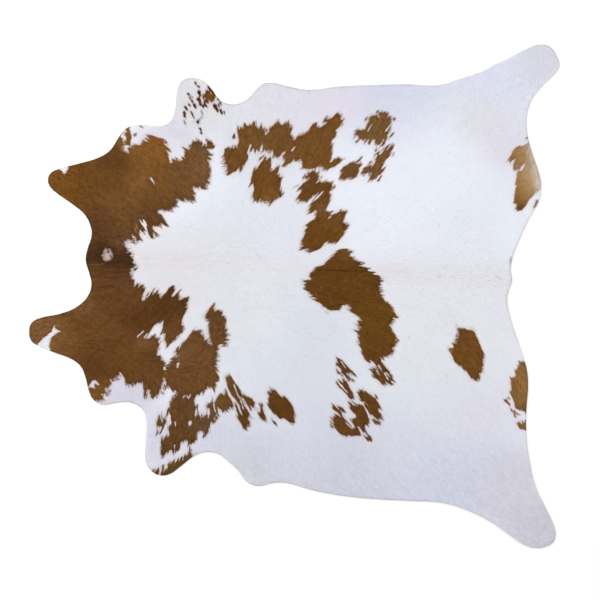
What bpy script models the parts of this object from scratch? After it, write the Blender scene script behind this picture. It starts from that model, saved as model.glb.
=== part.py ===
"""Cowhide rug: one whole hide, hair side up, lying flat on its flesh side.

Frame: metres, +Z up. The spine runs along X, with the neck towards -X and the
tail end towards +X, and the animal's right side is +Y. The origin lies on the
floor under the middle of the hide.
"""

import bmesh
import bpy
from mathutils import Vector

CENTIMETRE = 0.01

SKIN_THICKNESS = 0.0020     # tanned leather
COAT_DEPTH = 0.0040         # short hair as it lies on the leather
RIM_ROUNDING = 0.0015       # rounding of the trimmed edge, above and below
RIM_ROUNDING_STEPS = 1
STEPS_PER_POINT = 4         # straight steps between two points of the outline
WELD_DISTANCE = 0.00001

THICKNESS = SKIN_THICKNESS + COAT_DEPTH

COAT_COLOUR = (0.62, 0.58, 0.56, 1.0)
COAT_ROUGHNESS = 0.75

# The trimmed edge of the hide, in centimetres, clockwise from above. Each row
# is one stretch of the edge, and each of its points is (along spine, across).
# A smooth closed curve runs through all of them.
EDGE_CM = {
    "right neck flap, front": [
        (-98.2, 46.5), (-97.0, 49.2), (-93.7, 50.8), (-86.0, 52.9), (-78.0, 55.3), (-73.5, 58.1),
        (-70.0, 63.3), (-67.5, 66.6),
    ],
    "right shoulder": [(-64.5, 68.0), (-58.0, 68.2), (-52.0, 68.1)],
    "right fore shank": [
        (-49.0, 70.0), (-47.3, 74.5), (-46.5, 81.5), (-44.5, 86.0), (-40.0, 87.1), (-36.0, 85.9),
        (-33.0, 83.0), (-29.5, 78.5), (-26.0, 76.8), (-22.0, 76.9),
    ],
    "right flank": [
        (-18.5, 78.6), (-15.0, 82.4), (-12.0, 84.8), (-8.5, 85.2), (-2.0, 83.7), (6.0, 82.4),
        (18.0, 83.7), (30.0, 84.2), (46.0, 84.6), (58.0, 84.2),
    ],
    "right hind shank": [
        (66.0, 86.6), (76.0, 89.9), (80.0, 92.2), (86.0, 94.8), (92.0, 98.1), (99.5, 100.5),
        (103.0, 99.3), (105.2, 96.0), (106.3, 92.5), (105.0, 89.5), (100.5, 85.2), (96.5, 80.5),
        (94.1, 76.0), (93.1, 69.0),
    ],
    "right buttock": [
        (93.6, 64.0), (95.5, 57.0), (98.0, 49.5), (99.0, 43.5), (98.0, 37.6), (94.5, 31.5),
        (90.2, 22.5), (87.5, 15.2),
    ],
    "tail root": [(86.8, 10.5), (87.4, 6.0), (86.1, 2.5), (85.4, -1.5)],
    "left buttock": [
        (85.9, -5.5), (88.0, -13.0), (91.0, -22.0), (93.2, -29.0), (93.8, -35.0), (93.1, -46.0),
        (93.1, -56.0),
    ],
    "left hind shank": [
        (94.4, -66.0), (96.7, -76.0), (101.2, -85.6), (104.0, -91.5), (104.8, -95.2),
        (103.8, -98.5), (101.0, -100.2), (97.0, -100.8), (92.5, -99.6), (86.5, -95.7),
        (78.5, -90.1), (70.0, -85.9), (60.0, -82.8),
    ],
    "left flank": [
        (46.0, -81.9), (30.0, -81.0), (14.0, -79.0), (5.0, -76.9), (-2.0, -74.9), (-7.0, -74.6),
        (-15.0, -75.9), (-19.0, -74.0), (-22.0, -69.9), (-26.3, -66.0),
    ],
    "left fore shank": [
        (-30.0, -63.2), (-34.5, -62.4), (-39.0, -63.6), (-45.0, -68.0), (-50.0, -71.4),
        (-53.5, -71.7), (-57.0, -69.8), (-59.0, -66.0), (-59.1, -60.0), (-58.7, -53.0),
        (-59.3, -47.5), (-61.0, -44.7),
    ],
    "left shoulder": [(-66.0, -42.4), (-71.5, -42.8), (-76.0, -43.5)],
    "left neck flap, back": [
        (-79.2, -42.2), (-81.5, -38.8), (-83.2, -32.5), (-85.0, -28.3), (-88.5, -25.4),
        (-96.0, -22.5), (-101.5, -20.1),
    ],
    "left neck flap, front": [
        (-104.8, -18.0), (-105.7, -14.0), (-104.7, -10.7), (-101.0, -8.8), (-92.0, -6.8),
        (-86.0, -3.9), (-82.0, 0.4),
    ],
    "neck end": [(-80.8, 5.0), (-81.5, 8.5), (-83.1, 14.5), (-82.3, 19.0), (-80.7, 24.5)],
    "right neck flap, back": [(-81.2, 28.0), (-83.4, 32.4), (-88.0, 36.4), (-94.0, 40.7), (-97.2, 43.5)],
}


def clear_scene():
    """Remove every object that the new file starts with."""
    for thing in list(bpy.data.objects):
        bpy.data.objects.remove(thing, do_unlink=True)


def coat_material():
    """Return the plain material of the hide."""
    material = bpy.data.materials.new("cowhide")
    material.use_nodes = True
    shader = material.node_tree.nodes["Principled BSDF"]
    shader.inputs["Base Color"].default_value = COAT_COLOUR
    shader.inputs["Roughness"].default_value = COAT_ROUGHNESS
    shader.inputs["Metallic"].default_value = 0.0
    return material


def edge_curve():
    """Return a filled flat curve of the hide's edge, with the hide's thickness."""
    points = [point for stretch in EDGE_CM.values() for point in stretch]
    curve = bpy.data.curves.new("hide_edge", "CURVE")
    curve.dimensions = "2D"
    curve.resolution_u = STEPS_PER_POINT
    curve.fill_mode = "BOTH"
    curve.extrude = THICKNESS / 2 - RIM_ROUNDING
    curve.bevel_depth = RIM_ROUNDING
    curve.bevel_resolution = RIM_ROUNDING_STEPS
    curve.offset = -RIM_ROUNDING
    spline = curve.splines.new("BEZIER")
    spline.bezier_points.add(len(points) - 1)
    for knot, (along, across) in zip(spline.bezier_points, points):
        knot.co = Vector((along, across, 0.0)) * CENTIMETRE
        knot.handle_left_type = "AUTO"
        knot.handle_right_type = "AUTO"
    spline.use_cyclic_u = True
    return bpy.data.objects.new("hide_edge", curve)


def solid_from_curve(outline, name):
    """Return a closed mesh object made from a filled curve, on the floor and centred."""
    bpy.context.scene.collection.objects.link(outline)
    bpy.context.view_layer.update()
    evaluated = outline.evaluated_get(bpy.context.evaluated_depsgraph_get())
    mesh = bpy.data.meshes.new_from_object(evaluated)
    mesh.name = name
    shell = bmesh.new()
    shell.from_mesh(mesh)
    bmesh.ops.remove_doubles(shell, verts=shell.verts, dist=WELD_DISTANCE)
    bmesh.ops.recalc_face_normals(shell, faces=shell.faces)
    xs = [vertex.co.x for vertex in shell.verts]
    ys = [vertex.co.y for vertex in shell.verts]
    zs = [vertex.co.z for vertex in shell.verts]
    base_centre = Vector(((min(xs) + max(xs)) / 2, (min(ys) + max(ys)) / 2, min(zs)))
    bmesh.ops.translate(shell, verts=shell.verts, vec=-base_centre)
    shell.to_mesh(mesh)
    shell.free()
    bpy.data.objects.remove(outline, do_unlink=True)
    return bpy.data.objects.new(name, mesh)


def build_hide():
    """Build the whole hide as one solid."""
    hide = solid_from_curve(edge_curve(), "hide")
    hide.data.materials.clear()
    hide.data.materials.append(coat_material())
    for face in hide.data.polygons:
        face.material_index = 0
        face.use_smooth = False
    return hide


def main():
    """Clear the scene and build the rug in a collection of its own."""
    clear_scene()
    rug = bpy.data.collections.new("cowhide_rug")
    bpy.context.scene.collection.children.link(rug)
    rug.objects.link(build_hide())


main()
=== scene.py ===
"""Cowhide rug: the leather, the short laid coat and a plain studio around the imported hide.

Everything built is in metres in the hide's own frame: the spine runs along X with the neck
towards -X, the animal's right side is +Y, and the rug lies on the floor at z = 0. The tables of
markings, hair directions and tones are centimetres on a drawing of the hide seen from above,
whose origin lies a little off the frame's own (DRAWING_SHIFT_CM).
"""

import logging
import math
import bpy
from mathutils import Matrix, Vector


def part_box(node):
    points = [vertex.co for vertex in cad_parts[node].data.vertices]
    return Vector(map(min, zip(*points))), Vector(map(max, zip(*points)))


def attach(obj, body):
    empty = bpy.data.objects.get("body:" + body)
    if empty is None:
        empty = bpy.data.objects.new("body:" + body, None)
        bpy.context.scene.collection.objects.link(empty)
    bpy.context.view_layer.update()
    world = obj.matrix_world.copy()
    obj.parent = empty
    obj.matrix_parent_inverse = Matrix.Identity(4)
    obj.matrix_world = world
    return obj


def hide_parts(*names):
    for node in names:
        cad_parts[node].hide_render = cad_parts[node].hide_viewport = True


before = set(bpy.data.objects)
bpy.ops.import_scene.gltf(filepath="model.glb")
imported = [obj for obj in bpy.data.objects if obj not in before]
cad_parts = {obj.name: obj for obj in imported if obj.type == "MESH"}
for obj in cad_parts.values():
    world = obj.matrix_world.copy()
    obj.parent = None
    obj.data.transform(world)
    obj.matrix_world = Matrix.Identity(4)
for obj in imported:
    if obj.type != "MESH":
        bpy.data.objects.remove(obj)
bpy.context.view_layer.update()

from copy import copy
from dataclasses import dataclass, field
from enum import Enum, IntEnum

import bmesh
import bpy
import numpy as np
from mathutils import Vector

LOG = logging.getLogger("cowhide_rug")

CENTIMETRE = 0.01
DRAWING_SHIFT_CM = (-0.3, 0.15)
MERGE_DISTANCE = 1e-6
LOCK_ROOT = 1.15        # how wide a drawn lock or slit is at its root, as a share of its width
LOCK_TAPER = 0.55       # how much of that it has lost at its tip
SEED = 4711

Colour = tuple[float, float, float]
Array = np.ndarray

# Brown patches, as closed outlines of "along spine,across" points. Tufts of the coat end in the
# short spikes of each outline. Points beyond the hide's own edge are cut off by it.
BROWN_PATCHES: dict[str, str] = {
    "right neck and shoulder": """
        -112,12 -112,75 -72,75 -70.1,63.6 -69.7,62.9 -69.2,62.6 -68.6,62.8 -68.1,63.3
        -67.8,62.8 -67.8,62 -67.9,61 -68,60.2 -67.9,59.6 -67.7,58.8 -67.8,58 -67.9,57.5
        -67.3,57.7 -66.8,58 -66.2,58.4 -65.8,58.8 -65.4,59.4 -64.8,59.7 -64.2,60 -63.8,60.5
        -63.3,60.8 -62.6,60.8 -62,60.7 -61.5,60.4 -61.1,60.3 -61.1,60.9 -61.2,61.4 -60.6,61.6
        -60,61.8 -60.4,62.4 -60.2,62.8 -59.7,62.5 -59.3,62 -58.7,62.3 -59.2,62.9 -59.3,63.2
        -58.7,63.1 -58.3,63.1 -58.3,63.7 -58.2,64.2 -57.7,64.5 -56.7,64.5 -56,64.2 -55.5,63.8
        -54.6,63.5 -53.4,63.3 -52.4,63 -51.7,62.8 -51.1,62.3 -50.8,61.8 -51,61 -50.9,60.2
        -50.5,59.5 -50,59.2 -49.4,58.8 -48.9,58.3 -49.2,57.9 -49.7,57.9 -50.1,57.5 -50,56.5
        -49.7,55.4 -49.5,54.6 -48.9,52.6 -48.7,53.4 -48.4,54.7 -47.8,54.4 -47.4,54.4 -47.2,55.3
        -46.9,55.7 -46.6,55.3 -46.3,54.7 -46,54.5 -45.8,54.9 -45.6,54.6 -45.3,54.3 -45,54.4
        -44.7,55.3 -44.4,55.6 -44,55.1 -43.9,55.3 -43.7,56 -43.7,56.8 -43.7,57.4 -43.6,58
        -44,58.4 -44,59 -43.6,59.4 -43.1,59.2 -42.8,58.8 -42.6,59.2 -42.3,59.2 -42,58.8
        -41.7,58.8 -41.8,59.5 -41.9,60.6 -41.5,60.6 -41.2,60.4 -41,60.8 -41.1,61.3 -40.6,61.3
        -40.3,61.7 -40.2,62.6 -39.9,62.6 -39.5,62.4 -39.4,62.9 -39.1,63.1 -38.6,62.7 -38.3,62.3
        -38.2,62.7 -37.9,62.7 -37.6,62.3 -37.2,62 -36.8,61.7 -36.4,61.3 -36.1,60.9 -35.7,61
        -35.3,60.7 -35,60.3 -34.8,60 -34.5,59.7 -34.3,59.3 -34,58.4 -33.7,57.7 -33.3,57.2
        -32.8,57.2 -32.5,57.2 -32.4,56.8 -32.6,56.2 -32.9,55.7 -33,55.1 -33.1,54.5 -33.8,54
        -33.9,53.6 -33.8,52.9 -33.5,52.3 -33.2,51.8 -33.1,51.2 -33.1,50.5 -33.1,49.9 -32.9,49.4
        -33,48.8 -33.3,48.4 -33.3,47.7 -33.2,47 -33.4,46.4 -33.6,45.9 -33.7,45.3 -33.9,44.6
        -34.1,44 -34.4,43.4 -34.7,42.9 -35.1,42.6 -35.4,42.3 -35.7,42.1 -35.9,42.6 -36.4,43
        -36.8,43.1 -37.1,43.5 -37.5,43.6 -37.7,43.3 -37.6,42.8 -38,42.6 -38.5,42.7 -38.8,43.2
        -39.1,43.5 -39.4,43.4 -39.8,43.1 -39.8,42.4 -39.8,41.8 -39.5,41.4 -39.3,40.9 -39.2,40.3
        -39.1,39.6 -39,38.9 -39.3,38.2 -39.5,37.6 -39.9,37.6 -40.1,38 -40.4,37.6 -40.6,37
        -40.9,37.1 -41.1,37.6 -41.3,38.1 -41.6,38.3 -41.8,37.9 -42,37.2 -42.3,37.8 -42.7,38.4
        -43.2,38.7 -43.7,38.5 -43.4,38 -43.1,37.6 -43.6,37.6 -43.9,37.2 -44.2,37.5 -44.5,37.9
        -44.8,38.2 -45,37.9 -45.3,38 -45.6,38.2 -45.8,37.5 -46,37.3 -46.2,37.9 -46.5,38.4
        -46.7,37.5 -46.6,36.8 -46.4,36.3 -46.1,35.6 -45.9,35.1 -46.4,35.3 -46.9,35.8 -47.2,35.5
        -47.5,35 -48.2,34.6 -48.4,33.6 -48.9,34.4 -49.6,33.4 -49.9,34.2 -50.5,33.2 -50.9,34
        -51.5,33.5 -51.7,34.2 -52.2,34.6 -52.6,34.2 -53.2,34.1 -53.9,34.3 -54,33.8 -53.6,32.9
        -53.2,32.2 -52.8,31.7 -52.5,32.2 -52.2,32.3 -51.9,31.6 -51.6,30.8 -51.2,30.2 -50.8,29.6
        -50.4,28.9 -50.2,28.1 -50.3,27.6 -50.9,27.7 -51.4,28 -51.9,28.6 -52.3,29 -52.9,29.2
        -52.9,28.3 -52.7,27.6 -52.4,26.9 -52.1,26.2 -52.5,26.6 -53,27.3 -53.4,27.9 -54,27.9
        -54.6,28 -55.4,28 -56,28.2 -56,27.5 -56,26.6 -55.8,26 -55.3,25.8 -54.7,25.3 -54.2,24.7
        -53.9,24.2 -54.3,24.3 -54.8,24.6 -55.3,25 -55.5,24.6 -56.3,24.2 -55.8,23.4 -56.2,23
        -56.8,22.7 -57.3,22.8 -57.4,23.3 -57.6,24 -57.9,24.6 -58.7,25 -58.6,24.6 -58.9,24.5
        -59.2,25.2 -59.4,24.4 -59.7,24.6 -59.8,25.4 -60.1,24.9 -60.3,24.5 -60.3,25.5 -60.8,26
        -61.4,25.9 -61.7,25.2 -61.5,24.5 -61.2,23.7 -60.8,23.2 -60.5,22.6 -60.4,22.1 -60.8,22
        -61.2,22.4 -61.5,22.1 -61.9,22 -62.1,21.4 -61.9,20.8 -62.2,20.9 -62.5,21.9 -62.8,22.7
        -63.2,23.4 -63.8,24.2 -64,24.7 -64.1,24 -64,23.3 -63.8,22.6 -63.5,22 -63.1,21.3
        -63,20.7 -63.2,20.4 -63.5,20.9 -63.8,20.4 -64.1,20.7 -64.1,21.7 -64.3,22.5 -64.6,22.2
        -64.7,21.5 -65,21.8 -65.2,22.5 -65.7,22.4 -66,22.1 -66.1,21.2 -66.2,20.5 -66.5,20.3
        -66.6,21 -66.6,21.8 -66.9,22.2 -67.2,21.9 -67.3,21 -67.1,20.2 -66.7,19.5 -66.1,19.5
        -65.9,18.8 -65.6,17.9 -65.3,17.5 -70,12""",
    "neck and left shoulder": """
        -112,18.5 -70,18.5 -65.3,17.5 -65.1,17.9 -64.7,18.1 -64.5,17.2 -64.5,16.2 -64.6,15.3
        -63.8,15.3 -64.1,14.2
        -63.4,13.8 -62.9,12.4 -62.5,11 -62.8,10.4 -63.2,10.2 -63.8,11 -64.5,11.8 -64.8,10.5
        -64.6,8.5 -64.8,7 -64.5,6.6 -64,7.5 -63.6,6.8 -63.4,5.5 -63.7,4.7 -63,4.4 -62.4,5.5
        -62,4.8 -61.6,3.9 -61,4.3 -60.5,5.2 -60,4.3 -59.5,3.3 -59.2,2.8 -59.8,1.5 -60.2,0
        -60.4,-1 -60,-1.8 -59.5,-1.6 -59,-0.5 -58.5,1 -58,2 -57.8,1.2 -58.2,0 -57.3,0.8 -56.5,2
        -56,3 -55.8,2 -56,1 -55.3,1.2 -54.5,2.3 -54,2.8 -54.2,1.2 -53.8,0.3 -53.3,1 -52.8,0.2
        -53.2,-0.7 -52.2,0 -51.5,0.8 -50.5,2 -50,3.1 -49,3.7 -48,4.2 -47.3,3.9 -47.6,3 -47.5,2
        -48.2,1 -48.8,0 -47.8,0 -47,0.8 -46,1.9 -45,2.8 -44.6,2.8 -45.5,1.4 -46.2,0.2
        -46.2,-0.8 -45.5,-1.5 -44.8,-1.5 -44.3,-0.9 -43.7,-0.2 -43.2,0.2 -43.5,-0.8 -43,-0.5
        -42.3,-0.3 -41.2,-0.2 -41.3,-1 -42,-2 -42.3,-3.3 -42.2,-4.5 -42.6,-5.5 -43,-6.5
        -43.6,-7.5 -44.3,-8.5 -44.8,-9.3 -44.6,-10 -44.6,-11 -44.2,-12 -43.8,-13 -44,-14
        -44.6,-15 -45,-14.8 -45.5,-15.6 -45.7,-16.5 -46.2,-15.5 -46.8,-16.5 -47,-17.6
        -47.5,-18.3 -48,-17.7 -48.6,-18.5 -49.3,-19.2 -50,-20.2 -50.7,-20.3 -51,-19.3
        -51.4,-18.2 -51.5,-17 -51.8,-16 -51.9,-15 -52.3,-14.5 -52.9,-15.3 -53,-15 -52.5,-13.5
        -52,-12 -52.2,-11 -52.4,-10.4 -53.2,-10.6 -54.5,-10.8 -55.2,-11.2 -55.8,-12 -56.5,-13
        -57.2,-14.2 -57.6,-15.2 -58.2,-15.5 -58.5,-16.3 -57.5,-17 -56.8,-16 -56,-15.3
        -55.5,-15.2 -55,-16 -54.6,-17 -54,-16.3 -53.6,-16.8 -53.6,-18 -53.5,-19 -53.6,-20
        -53.6,-21.3 -53.9,-22 -54.4,-23 -54.2,-23.5 -53.4,-23.9 -52.9,-24.5 -52.5,-25
        -52.1,-25.5 -51.7,-25.8 -51.4,-26.2 -51.1,-26.8 -51.1,-27.5 -51.5,-28.4 -51.9,-29.1
        -51.8,-29.5 -51.3,-29.4 -50,-29.8 -50,-32.8 -50.7,-32.9 -51.3,-33.5 -51.8,-34.6
        -52.2,-35.6 -52.7,-36.7 -53.2,-37.8 -53.4,-38.4 -53.5,-39.2 -54,-39 -54.3,-39.4
        -54.2,-40 -55,-39.9 -55.5,-40.3 -56,-41 -56.8,-41.3
        -57.5,-41 -57,-40.2 -57.3,-39.6 -57.7,-39 -57,-38.5 -57.6,-37.9 -58.5,-37.8 -59.3,-38.2
        -58.9,-38.8 -58.5,-39.5 -58.3,-40.5 -58.8,-41.3 -59.5,-41.5 -60.1,-40.8 -60.1,-39.5
        -59.7,-38.7 -60.1,-37.8 -60,-36.5 -60.4,-36 -60.3,-35 -60,-34.2 -60.5,-34.5 -61.3,-34.9
        -62.5,-35.1 -64,-35.7 -65.5,-36 -67,-36.2 -67.2,-35.5 -67,-34 -67.2,-33.2 -68,-32.8
        -69.5,-32.4 -70.5,-32.4 -72,-33 -72.6,-33.3 -72.9,-34.5 -73.2,-36 -73.6,-37 -74.2,-37.8
        -75.3,-38.3 -75.8,-39.5 -76.4,-40 -76,-40.8 -75.5,-41.5 -76.5,-41.8 -77.5,-41.9
        -78.5,-42 -79.2,-42.2 -80,-46 -112,-46""",
    "left shoulder middle": """
        -47.2,-22 -47,-20.9 -46,-20.4 -45.2,-20.8 -44.9,-19.8 -44.6,-18.5 -44.3,-17.8 -43.7,-18
        -43,-17.3 -42,-16.8 -41.6,-15.5 -41,-14.6 -40.4,-13.9 -40,-13 -39.4,-13.6 -38.8,-13.3
        -38,-13.8 -37,-13.7 -36.5,-14.5 -36.2,-15.5 -36,-16.7 -35.5,-16.2 -35,-17 -34.3,-17.5
        -34,-18.3 -33.8,-19.5 -33.2,-20.2 -33,-19 -33.2,-17.5 -33.5,-16 -33.6,-14.5 -34,-13.8
        -34.3,-12.5 -34,-11 -33.8,-10 -34.3,-9.7 -35,-9.4 -35.3,-8.5 -35.4,-7.8 -34.8,-6.8
        -34.3,-5.7 -33.7,-4.7 -32.8,-4 -32,-3.3 -31.5,-2.5 -31,-2 -31.2,-3.2 -31.9,-4.5
        -31.7,-5.5 -30.8,-5.9 -29.8,-5.8 -29,-5.4 -28.5,-5.2 -28.4,-6.3 -28,-7.3 -27.4,-8 -27,-9
        -26.6,-9.8 -27,-11 -27.1,-12.3 -26.9,-13.8 -26.5,-15 -25.9,-14.9 -25.6,-15.7 -26.1,-16.3
        -26.5,-15.8 -26.4,-17 -26.2,-18.5 -26.4,-19.7 -27,-20.5 -27.6,-20 -28.3,-19.2 -29,-19.6
        -29.6,-19.3 -30.3,-19.4 -30.1,-22 -30.1,-24 -30.7,-26 -30.7,-28 -30.4,-30 -30,-31.5
        -29.7,-33 -30.1,-34.3 -30.7,-35 -31,-36.5 -31.5,-37.5 -32.2,-37.5 -32.6,-36.8
        -33.5,-36.7 -34.2,-36.9 -34.5,-37.8 -35.5,-38.3 -36,-39.2 -37,-39.3 -37.8,-39.5
        -38.3,-38.9 -38.8,-39.2 -39.1,-40 -39.4,-41 -39.8,-41.6 -39.5,-42.5 -39.2,-43.6
        -38.9,-44.2 -38.5,-43 -38,-44 -38.3,-45.3 -38.9,-45.7 -39.3,-46.5 -39.7,-47.5
        -38.9,-47.7 -38.2,-47.4 -38.6,-46.3 -38.2,-45.8 -37.9,-47 -37.6,-48.2 -37.2,-48.4
        -36.8,-47.5 -36.4,-46.7 -36.4,-47.7 -36.6,-48.6 -35.9,-48.8 -35.3,-48.7 -34.8,-47.6
        -34.5,-46.5 -34.4,-47.5 -34,-48.5 -33.5,-47.5 -33.4,-46.5 -33.6,-45.3 -34.2,-45.2
        -34.9,-44.9 -35.2,-44.3 -34.5,-43.8 -33.7,-43.7 -33.3,-42.8 -32.8,-41.8 -32.3,-41.2
        -32.2,-42.3 -32,-43.3 -31.5,-43 -31,-41.3 -30,-40.8 -29.6,-39.8 -29,-38.7 -28.2,-39
        -27.5,-38.8 -27.2,-37.3 -26.9,-36.8 -26.6,-38 -26.3,-39 -26,-39.9 -25.3,-40.6 -24.6,-42
        -24,-43 -24,-44.3 -24.6,-45.3 -25.2,-44.8 -26,-45.3 -26.2,-46 -27,-46.6 -27.8,-46.2
        -28.6,-46.5 -29,-45.5 -29.4,-44.8 -29.8,-45.4 -30.2,-46.3 -31,-47.8 -31.7,-48.8
        -31.5,-49.3 -30,-46.8 -29.7,-47.8 -29.7,-48.8 -30.4,-49.5 -30.3,-50.5 -31,-50.2
        -31.8,-50.6 -32.6,-50.9 -33.3,-51.8 -33.5,-52.8 -34,-53.9 -34.6,-55 -35.2,-55.8
        -36,-56.5 -36.4,-56.8 -36.5,-56.3 -35.9,-55.3 -35.3,-54.3 -36.4,-54 -36.7,-54.8 -37,-55
        -37.2,-54 -37.5,-53.8 -37.7,-54.5 -38.1,-54.2 -38.5,-54.8 -38.7,-56 -38.2,-56.8
        -38.8,-57.5 -39.5,-58.3 -40.2,-59.2 -41,-59.6 -41.7,-59.8 -42.2,-60.8 -42.6,-60.7
        -42.3,-59.8 -42,-59 -42.5,-58.2 -42.9,-57.8 -43.5,-57.8 -44,-58.2 -44.2,-59.5
        -44.7,-59.5 -44.9,-58 -45.2,-58.5 -45.2,-60 -45.5,-61.3 -46,-61.8 -46.5,-62.8 -47,-62
        -47.3,-61.5 -47.7,-62.8 -48,-63.3 -48.4,-62.7 -48.8,-61.6 -49.5,-62 -50.2,-62.7
        -51,-63.3 -51.7,-64 -52.1,-64.6 -52.6,-64 -53.2,-63.2 -53.4,-62 -52.9,-61.5 -52.7,-61
        -53.1,-60.8 -53.3,-60 -52.8,-59 -53,-58 -53,-57.3 -52.4,-57 -51.8,-57.2 -51.2,-56.3
        -50.5,-56.3 -49.8,-55.6 -49.5,-54.5 -50,-53.8 -50.5,-53.5 -50.3,-52.5 -49.7,-51.9
        -49,-51.2 -48.9,-50 -49,-48.7 -49.3,-47.5 -49.9,-46.2 -50.2,-45.2 -49.7,-44.5 -49.4,-43
        -49,-41.5 -48.5,-40.5 -47.7,-39.9 -46.9,-39.7 -46.5,-39 -46.6,-38.2 -47.3,-38
        -48,-38.3 -48.5,-38.7 -48.9,-37.6 -49.2,-36.8 -49.4,-36.2 -49.8,-36.5 -50.2,-36.9
        -50.5,-37.4 -50.8,-38 -51.1,-38.5 -51.3,-38.4 -51.1,-37.7 -51.2,-37.3 -51.4,-37.7
        -51.7,-38.3 -52,-38.9 -52.4,-39.5 -52.8,-39.8 -52.8,-39.3 -52.3,-38.2 -51.9,-37.3
        -51.5,-36.5 -51.2,-35.6 -51,-34.8 -50.9,-33.8 -50.6,-32.9 -50.6,-29.6 -51,-29
        -50.9,-28.6 -50.4,-28 -50.1,-27.2 -49.9,-26.7 -49.4,-26.4 -49.1,-25.8 -48.8,-25.2
        -48.5,-24.8 -48.3,-24.1 -48,-24.1 -47.6,-25.1 -47.1,-24.3 -47.2,-23.4 -47.2,-22.5""",
    "left fore shank, side tufts": """
        -54.9,-52 -54.6,-51 -54.3,-49 -53.2,-47 -52.4,-46.2 -52.8,-47.5 -53.5,-49 -52.8,-49.6
        -52.6,-50.3 -51.7,-49.7 -51,-49 -50.7,-50 -51,-51.5 -51.5,-52.5 -52.3,-52.5 -53.3,-52.3
        -54,-52.6 -54.5,-52.7""",
    "left fore shank, lower strip": """
        -41.5,-60.2 -41,-61.3 -40.7,-62.5 -40.7,-63.5 -40.3,-64 -39.6,-64 -39,-63.6 -41,-66
        -46,-71 -50,-73 -53.3,-73 -53,-70.3 -52.5,-69.6 -52.7,-68 -52.2,-67.2 -51.7,-67.5
        -51.8,-69 -51.3,-69.8 -51,-68.5 -50.5,-69.5 -50.2,-68 -50,-66.5 -49.5,-66 -49,-66.4
        -48.5,-66.8 -48.2,-66 -47.6,-65.6 -47,-66 -46.2,-65.4 -45.5,-65.7 -45,-65 -44.3,-65.4
        -44,-64.5 -43.8,-63.8 -43.3,-64 -43,-63.2 -42.3,-63.5 -42,-62.5 -41.8,-61.5""",
    "left fore shank, end tuft": """
        -57,-69.9 -56,-69.6 -55.2,-70.2 -54.7,-70 -54.5,-68.9 -54,-68.8 -53.6,-70 -53.8,-71.2
        -55,-71.8 -56.2,-71.2""",
    "right ribs": """
        -27.6,59.1 -27.7,54 -27.3,52 -26.3,48 -25,48.8 -24,49.5 -22,50.5 -21,50
        -20.2,50.2 -20.1,51.5 -20.5,52 -19.5,52.6 -18.3,53.8 -18.1,55.5 -17.8,57.3 -17,58.5
        -16,58.8 -15.3,58.2 -14.5,58.6 -14,57.8 -13.2,58.8 -12.5,60 -12.2,58.8 -13.3,57.3
        -12.4,57.6 -11.5,58.2 -9.8,57.8 -9,58 -8.3,57 -8,55.8 -6.8,55.3 -5.8,55.6 -5,56.8
        -3.5,57.2 -4,56 -4.8,55 -3.5,54.8 -3.2,53.8 -4,53 -4.6,52.2 -3,52 -2,52.8 -1,53.2
        -0.5,53.9 0,54.5 0.5,53.9 1.2,54.3 2.2,54.6 2.8,54.4 3.3,53 3.8,52.4 3.3,51.3 4.8,51.6
        4.8,50.8 6,51 7,50.5 8,51 9,51.3 10,51.5 10.3,50.8 11,51.5 12,51 12.3,50.4 13.5,50.3
        15,51.2 17,52.3 18.8,53.5 20.8,55 19.2,54.6 19.2,55 18.9,55.5 17.8,55.6 16.5,55.2
        15.8,54.2 15,53.4 14.8,53.8 15.3,55.5 15.7,57 15.8,58.2 15.6,59.5 16,60.5 15.8,61.3
        15,62 16,63 17.2,64 17,65.3 16.8,66.2 18.2,67.5 19,68.5 19.5,68 20.3,69.2 19.4,69.2
        19.8,70 21,71.3 19.6,70.6 19.2,71.5 19.5,72.2 18,72.4 17.6,72.2 18,73.2 17.5,73.3 16,72
        14.8,71 13.8,70.7 13.6,71.2 13.8,72.2 12.8,71.8 12,70.7 12,69.8 13.8,69.5 12,68.5
        11,67.8 10,67.6 9.5,67.8 9.7,68.5 9.2,69.2 8.3,69 7.2,68.2 6.5,67.2 6.3,66.2 6,65.8
        4.5,65.2 3,65 2,64.6 1.3,63.8 0.3,62.8 -0.3,62.9 -0.5,64 -0.6,65 -0.8,66 0,67.4
        -0.5,68 -1.8,68.9 -1.5,70.3 -3,69.5 -4.2,68.6 -4.8,68.9 -5.6,69 -5.5,69.9 -7,69.8
        -8.5,68 -10,66.8 -11,66.5 -12,67.3 -13,67.5 -12.3,69.1 -13.8,68 -15.5,68 -14.8,69.2
        -16.3,69.2 -17.1,67.9 -17.6,69.1 -18.3,68 -18.7,68.6 -19.7,69.3 -20,68.3 -20.1,66.8
        -20.9,67.8 -21.5,67.4 -22,68 -22.9,67.8 -22.5,65.9 -22.2,63.6 -21.7,62.7 -22,61.8
        -21.8,60.4 -22.5,60.2 -23.8,60.4 -23.9,59.9 -24.7,59.2 -25.6,59.8 -25.9,59.2
        -26.7,59.2""",
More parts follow.
